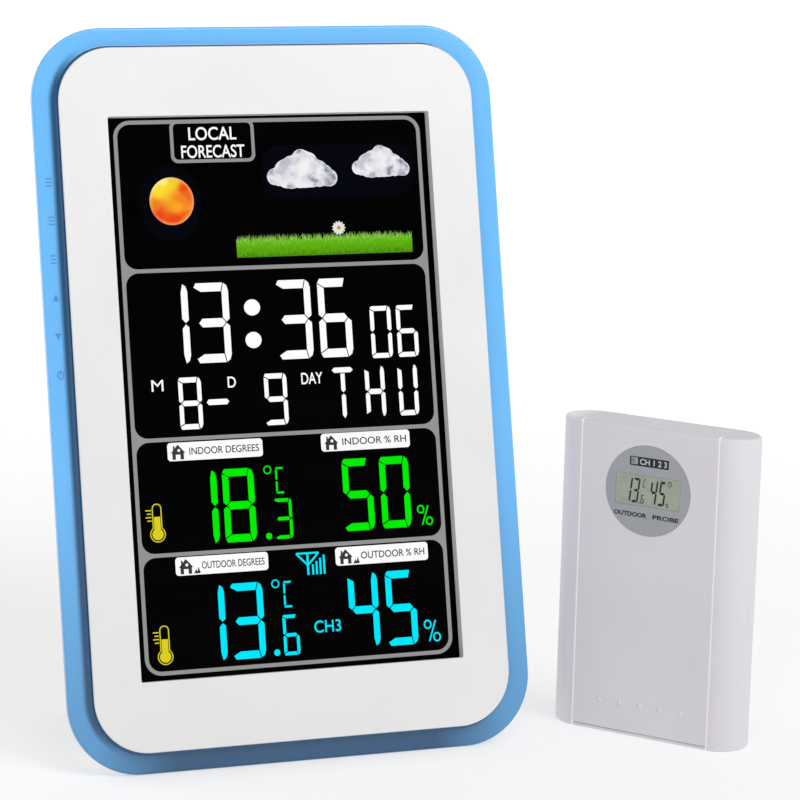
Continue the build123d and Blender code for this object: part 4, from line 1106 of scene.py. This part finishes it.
class STATION_OT_outdoor(bpy.types.Operator):
    """Draws the outdoor temperature, humidity, channel and signal in cyan"""
    bl_idname = "station.outdoor"
    bl_label = "Outdoor readings"

    def execute(self, context):
        cyan = lit("outdoor_cyan", tuple(context.scene.station_display.outdoor_colour))
        warmth = reading("13", "6", ((-21.9, 2.05), (-18.4, 9.05)), (-4.6, 4.65), -69.85, 20.2)
        show_piece("outdoor_temperature", [plate(warmth)], cyan)
        damp = digit("4", 14.0, -69.1, 8.5, 20.0, BAR, POST)
        damp += digit("5", 24.5, -69.4, 8.65, 20.2, BAR, POST)
        damp += percent(34.7, -69.0, 39.4, -63.0)
        show_piece("outdoor_humidity", [plate(damp)], cyan)

        top, foot, left, mast = -43.1, -48.85, 0.35, 3.45
        right, line = 2 * mast - left, 0.5
        marks = [plate([shape]) for shape in (
            stroke((left, top), (right, top), line), stroke((left, top), (mast, top - 3.2), line),
            stroke((right, top), (mast, top - 3.2), line), stroke((mast, top), (mast, foot), line + 0.1))]
        bars = [stroke((mast + 1.35 + 1.05 * i, foot), (mast + 1.35 + 1.05 * i, foot + 2.7 + 0.8 * i), 0.55)
                for i in range(4)]
        channel = lettering("CH3", 4.15, -64.3, 11.55, -61.1, weight=0.008)
        show_piece("signal_mark", [*marks, plate(bars), channel], cyan)
        return {"FINISHED"}


def house(left, foot, size):
    """A house mark: gable roof with a chimney, a doorway cut from the foot and a round window."""
    walls = [(0.11, 0), (0.11, 0.43), (0, 0.43), (0.17, 0.62), (0.17, 0.9), (0.28, 0.9), (0.28, 0.74),
             (0.5, 1.0), (1.0, 0.43), (0.89, 0.43), (0.89, 0), (0.66, 0), (0.66, 0.33), (0.34, 0.33),
             (0.34, 0)]
    outline = np.array(walls) * size + (left, foot)
    return [outline, ellipse(left + 0.56 * size, foot + 0.6 * size, 0.1 * size, steps=20)]


class STATION_OT_labels(bpy.types.Operator):
    """Draws the four lit label plates with their house marks and plain words"""
    bl_idname = "station.labels"
    bl_label = "Label plates"

    def execute(self, context):
        boxes = ((-32.9, -16.8, -7.0, -12.0), (9.2, -16.5, 34.1, -11.75),
                 (-32.6, -46.8, -7.4, -42.0), (11.2, -47.0, 37.2, -42.15))
        words = ("INDOOR DEGREES", "INDOOR % RH", "OUTDOOR DEGREES", "OUTDOOR % RH")
        plates = plate([rounded_box(*box, 0.9) for box in boxes])
        white = lit("label_white", tuple(context.scene.station_display.clock_colour))
        show_piece("label_plates", [plates], white)
        marks = []
        for number, ((left, foot, right, top), word) in enumerate(zip(boxes, words)):
            outdoors = number > 1
            marks.append(plate(house(left + 0.85, foot + 0.35, 3.95), TOP_PRINT))
            if outdoors:
                trees = [[(4.9, 0.35), (6.1, 0.35), (5.5, 1.5)], [(5.7, 0.35), (6.7, 0.35), (6.2, 2.1)]]
                marks += [plate([np.array(tree) + (left, foot)], TOP_PRINT) for tree in trees]
            start = left + (7.1 if outdoors else 5.9)
            box = (start, foot + 1.45, right - 1.0, foot + 3.35)
            marks.append(lettering(word, *box, TOP_PRINT, weight=0.01))
        show_piece("label_marks", marks, ink("label_ink", (0.012, 0.012, 0.014)))
        return {"FINISHED"}


def bulb_outline(x, y, bulb, tube, top):
    """A thermometer's outline: up one side of the tube, over its round top, down and round the bulb."""
    meet = math.asin(tube / bulb)
    over = np.linspace(0, np.pi, 17)
    cap = np.stack((x + tube * np.cos(over), top - tube + tube * np.sin(over)), -1)
    round_turn = np.linspace(np.pi / 2 + meet, 5 * np.pi / 2 - meet, 40)
    foot = np.stack((x + bulb * np.cos(round_turn), y + bulb * np.sin(round_turn)), -1)
    return np.vstack((cap, foot))


class STATION_OT_thermometers(bpy.types.Operator):
    """Draws the two small thermometers with their scale marks"""
    bl_idname = "station.thermometers"
    bl_label = "Thermometers"

    def execute(self, context):
        meshes = []
        for x, y, top in ((-36.75, -35.65, -27.6), (-36.7, -67.6, -59.4)):
            glass = [bulb_outline(x, y, 2.1, 1.3, top), bulb_outline(x, y, 1.82, 1.02, top - 0.28)]
            column = bulb_outline(x, y, 1.5, 0.85, top - 0.5)
            column[:, 1] = np.minimum(column[:, 1], y + 4.6)
            rungs = [(top - 1.75 - 0.9 * i, 0.4 * (i % 2)) for i in range(4)]
            ticks = [stroke((x - 3.05 + shorter, y), (x - 1.5, y), 0.3) for y, shorter in rungs]
            meshes += [plate(glass), plate([column]), plate(ticks)]
        yellow = lit("scale_yellow", tuple(context.scene.station_display.scale_colour), uneven=0.12)
        show_piece("thermometers", meshes, yellow)
        return {"FINISHED"}


# ---- print and marks on the cases --------------------------------------------------------------------
class STATION_OT_key_marks(bpy.types.Operator):
    """Prints a small darker mark on the rim beside each side key"""
    bl_idname = "station.key_marks"
    bl_label = "Key marks"

    def execute(self, context):
        column, across, line, thin = -60.25, 0.85, 0.34, (0.004, 0.03)
        rows = {key: RIM.local(node_points(f"key_{key}"))[:, 1].mean() for key in KEY_NAMES}
        bars = []
        for key in KEY_NAMES[:3]:
            for step in (-1, 0, 1):
                y = rows[key] + 0.95 * step
                length = across * (1.0 if key == "set" else 0.75 + 0.25 * abs(step))
                bars.append(stroke((column - length, y), (column + length, y), line))
        up, down, snooze = (rows[key] for key in KEY_NAMES[3:])
        rise = [(column - across, up - 0.8), (column + across, up - 0.8), (column, up + 0.9)]
        fall = [(column - across, down + 0.8), (column, down - 0.9), (column + across, down + 0.8)]
        dial = ring(column, snooze, 0.95, 1.2, line)
        hand = stroke((column, snooze - 0.1), (column, snooze + 0.8), 0.3)
        meshes = [plate([shape], thin) for shape in (*bars, rise, fall)]
        meshes += [plate(dial, thin), plate([hand], thin)]
        blue = ink("key_mark_blue", (0.065, 0.26, 0.56))
        add_piece("key_marks", meshes, RIM, "console", blue)
        return {"FINISHED"}


class STATION_OT_sensor_readout(bpy.types.Operator):
    """Draws the outdoor unit's dark digits on its grey display"""
    bl_idname = "station.sensor_readout"
    bl_label = "Outdoor unit readout"

    def execute(self, context):
        slant, thin = 0.11, (0.01, 0.04)
        outlines = []
        for character, left, width in (("1", -5.7, 0.62), ("3", -4.8, 1.95), ("4", 0.3, 2.05),
                                       ("5", 2.85, 2.0)):
            outlines += digit(character, left, -3.55, width, 6.95, 0.84, 0.6, gap=0.12, slant=slant)
        outlines += digit("C", -1.6, 0.95, 0.9, 2.3, 0.28, 0.24, gap=0.06, slant=slant)
        outlines += digit("6", -2.15, -3.55, 1.0, 2.5, 0.32, 0.27, gap=0.06, slant=slant)
        outlines.append(ellipse(-2.45, -3.35, 0.17, 0.17, 16))
        outlines += percent(5.3, -3.6, 6.2, -2.5, 0.12)
        battery = [rounded_box(5.85, 2.15, 6.85, 3.35, 0.1), rounded_box(6.0, 2.3, 6.7, 3.2, 0.05)]
        nub = rounded_box(6.15, 3.38, 6.55, 3.6, 0.05)
        meshes = [plate(outlines, thin), plate(battery, thin), plate([nub], thin)]
        dark = ink("readout_dark", tuple(context.scene.station_sensor.print_colour), 0.35)
        add_piece("sensor_readout", meshes, SENSOR_GLASS, "sensor", dark)
        return {"FINISHED"}


class STATION_OT_sensor_print(bpy.types.Operator):
    """Prints the plain dark badge and the plain words on the outdoor unit's disc"""
    bl_idname = "station.sensor_print"
    bl_label = "Outdoor unit print"

    def execute(self, context):
        thin = (0.004, 0.03)
        dark = ink("disc_ink", tuple(context.scene.station_sensor.print_colour))
        badge = [rounded_box(-5.55, 6.6, 5.85, 9.1, 0.08), rounded_box(-5.2, 6.95, -3.2, 8.85, 0.25)]
        words = [lettering("OUTDOOR", -9.7, -7.5, -0.1, -6.25, thin, 0.035),
                 lettering("PROBE", 1.7, -7.5, 9.4, -6.25, thin, 0.03)]
        add_piece("disc_print", [plate(badge, thin), *words], DISC, "sensor", dark)
        waves = [plate(ring(-4.65, 7.9, reach, reach, 0.14), (0.004, 0.02)) for reach in (0.3, 0.65)]
        add_piece("badge_waves", waves, DISC, "sensor", ink("wave_ink", (0.05, 0.05, 0.06)))
        pale = ink("badge_letters", (0.55, 0.56, 0.58))
        letters = lettering("CH 1 2 3", -2.6, 7.05, 5.3, 8.65, (0.02, 0.05), 0.02)
        add_piece("badge_lettering", [letters], DISC, "sensor", pale)
        return {"FINISHED"}


# ---- stage -------------------------------------------------------------------------------------------
def cove(radius, corner, height, spokes=96):
    """A round floor that curves up into a wall.

    A profile of a flat run, a quarter turn and a straight rise is carried once round the upright axis
    and closed in the middle by a fan.
    """
    flat = np.linspace(0.05, 1, 12) * radius
    bend = np.linspace(0, np.pi / 2, 13)[1:]
    out = np.concatenate((flat, radius + corner * np.sin(bend), np.full(4, radius + corner)))
    wall = corner + np.linspace(0.25, 1, 4) * height
    rise = np.concatenate((np.zeros(12), corner * (1 - np.cos(bend)), wall))
    turn = np.linspace(0, 2 * np.pi, spokes, endpoint=False)
    x, y = out[:, None] * np.cos(turn), out[:, None] * np.sin(turn)
    z = rise[:, None] * np.ones(spokes)
    points = np.vstack(([[0, 0, 0]], np.stack((x, y, z), -1).reshape(-1, 3)))
    here = np.arange(spokes)
    after = (here + 1) % spokes
    first = 1 + np.arange(len(out) - 1)[:, None] * spokes
    walls = np.stack((first + here, first + spokes + here, first + spokes + after, first + after), -1)
    fan = np.stack((np.zeros(spokes, int), here + 1, after + 1), -1)
    mesh = bpy.data.meshes.new("floor")
    mesh.from_pydata(points.tolist(), [], fan.tolist() + walls.reshape(-1, 4).tolist())
    mesh.shade_smooth()
    return mesh


def floor_paint(name, colour, near, far):
    """Pale paper: a faint mottle, and a glow of its own, painted light that is weaker near the middle and
    grows away from it.
    """
    material, tree, shader = new_shader(name, 0.7, specular=0.2)
    mottle = noise(tree, coordinates(tree), 6, detail=3)
    paper = tones(tree, mottle, ((0.3, shade(colour, 0.985)), (0.7, colour)))
    feed(tree, shader, "Base Color", paper)
    shader.inputs["Emission Color"].default_value = (1, 1, 1, 1)
    # painted light: the floor's glow is weaker near the object and stronger far from it
    length = vectors(tree, "LENGTH", coordinates(tree), output="Value")
    glow = spread(tree, length, near, far, 0.2, 0.9)
    feed(tree, shader, "Emission Strength", glow)
    return material


def soft_light(name, place, aim, size, power, colour):
    light = bpy.data.lights.new(name, "AREA")
    light.shape = "DISK"
    light.size = size
    light.energy = power
    light.color = colour
    holder = bpy.data.objects.new(name, light)
    holder.location = place
    holder.rotation_euler = (Vector(aim) - Vector(place)).to_track_quat("-Z", "Y").to_euler()
    bpy.context.scene.collection.objects.link(holder)


class STATION_OT_stage(bpy.types.Operator):
    """Sets the floor, the soft lights and the camera"""
    bl_idname = "station.stage"
    bl_label = "Stage"

    def execute(self, context):
        scene = context.scene
        stage = scene.station_stage
        floor = bpy.data.objects.new("floor", cove(4.0, 1.5, 0.3))
        floor.data.materials.append(floor_paint("floor_paper", tuple(stage.floor), stage.near, stage.far))
        scene.collection.objects.link(floor)

        scene.world = bpy.data.worlds.new("soft_sky")
        scene.world.use_nodes = True
        sky = scene.world.node_tree.nodes["Background"]
        sky.inputs["Color"].default_value = (1, 1, 1, 1)
        sky.inputs["Strength"].default_value = stage.sky
        middle = (0.03, 0.0, 0.09)
        soft_light("key_light", (0.75, -1.1, 1.25), middle, 0.9, stage.key, (1.0, 0.99, 0.98))
        soft_light("back_light", (-1.2, 0.9, 0.6), middle, 0.8, stage.back, (0.97, 0.99, 1.0))
        soft_light("top_light", (0.0, -0.28, 0.56), (0.0, 0.03, 0.17), 0.3, stage.top, (1.0, 1.0, 1.0))

        camera = bpy.data.objects.new("camera", bpy.data.cameras.new("camera"))
        camera.data.lens = stage.lens
        camera.data.sensor_width = 36.0
        camera.data.clip_start = 0.01
        turn = Matrix.Rotation(-stage.heading, 4, "Z") @ Matrix.Rotation(math.pi / 2 - stage.fall, 4, "X")
        camera.matrix_world = Matrix.Translation(stage.place) @ turn @ Matrix.Rotation(stage.roll, 4, "Z")
        scene.collection.objects.link(camera)
        scene.camera = camera
        scene.view_settings.view_transform = "Standard"
        return {"FINISHED"}


PIECES = (
    STATION_OT_cases, STATION_OT_glass, STATION_OT_electronics, STATION_OT_metals, STATION_OT_sections,
    STATION_OT_sun, STATION_OT_clouds, STATION_OT_meadow, STATION_OT_clock, STATION_OT_date,
    STATION_OT_indoor, STATION_OT_outdoor, STATION_OT_labels, STATION_OT_thermometers,
    STATION_OT_key_marks, STATION_OT_sensor_readout, STATION_OT_sensor_print, STATION_OT_stage,
)
SETTINGS = {
    "station_case": CaseSettings, "station_display": DisplaySettings, "station_sensor": SensorSettings,
    "station_stage": StageSettings,
}


class STATION_PT_panel(bpy.types.Panel):
    """Lists the station's settings and pieces"""
    bl_idname = "STATION_PT_panel"
    bl_label = "Weather station"
    bl_space_type = "VIEW_3D"
    bl_region_type = "UI"
    bl_category = "Station"

    def draw(self, context):
        for name, group in SETTINGS.items():
            box = self.layout.box()
            for setting in group.__annotations__:
                box.prop(getattr(context.scene, name), setting)
        for operator in PIECES:
            self.layout.operator(operator.bl_idname)


def register():
    for name, group in SETTINGS.items():
        bpy.utils.register_class(group)
        setattr(bpy.types.Scene, name, PointerProperty(type=group))
    for operator in PIECES:
        bpy.utils.register_class(operator)
    bpy.utils.register_class(STATION_PT_panel)


def unregister():
    bpy.utils.unregister_class(STATION_PT_panel)
    for operator in reversed(PIECES):
        bpy.utils.unregister_class(operator)
    for name, group in SETTINGS.items():
        delattr(bpy.types.Scene, name)
        bpy.utils.unregister_class(group)


def main():
    """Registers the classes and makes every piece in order."""
    register()
    for operator in PIECES:
        group, action = operator.bl_idname.split(".")
        getattr(getattr(bpy.ops, group), action)()


if __name__ == "__main__":
    main()
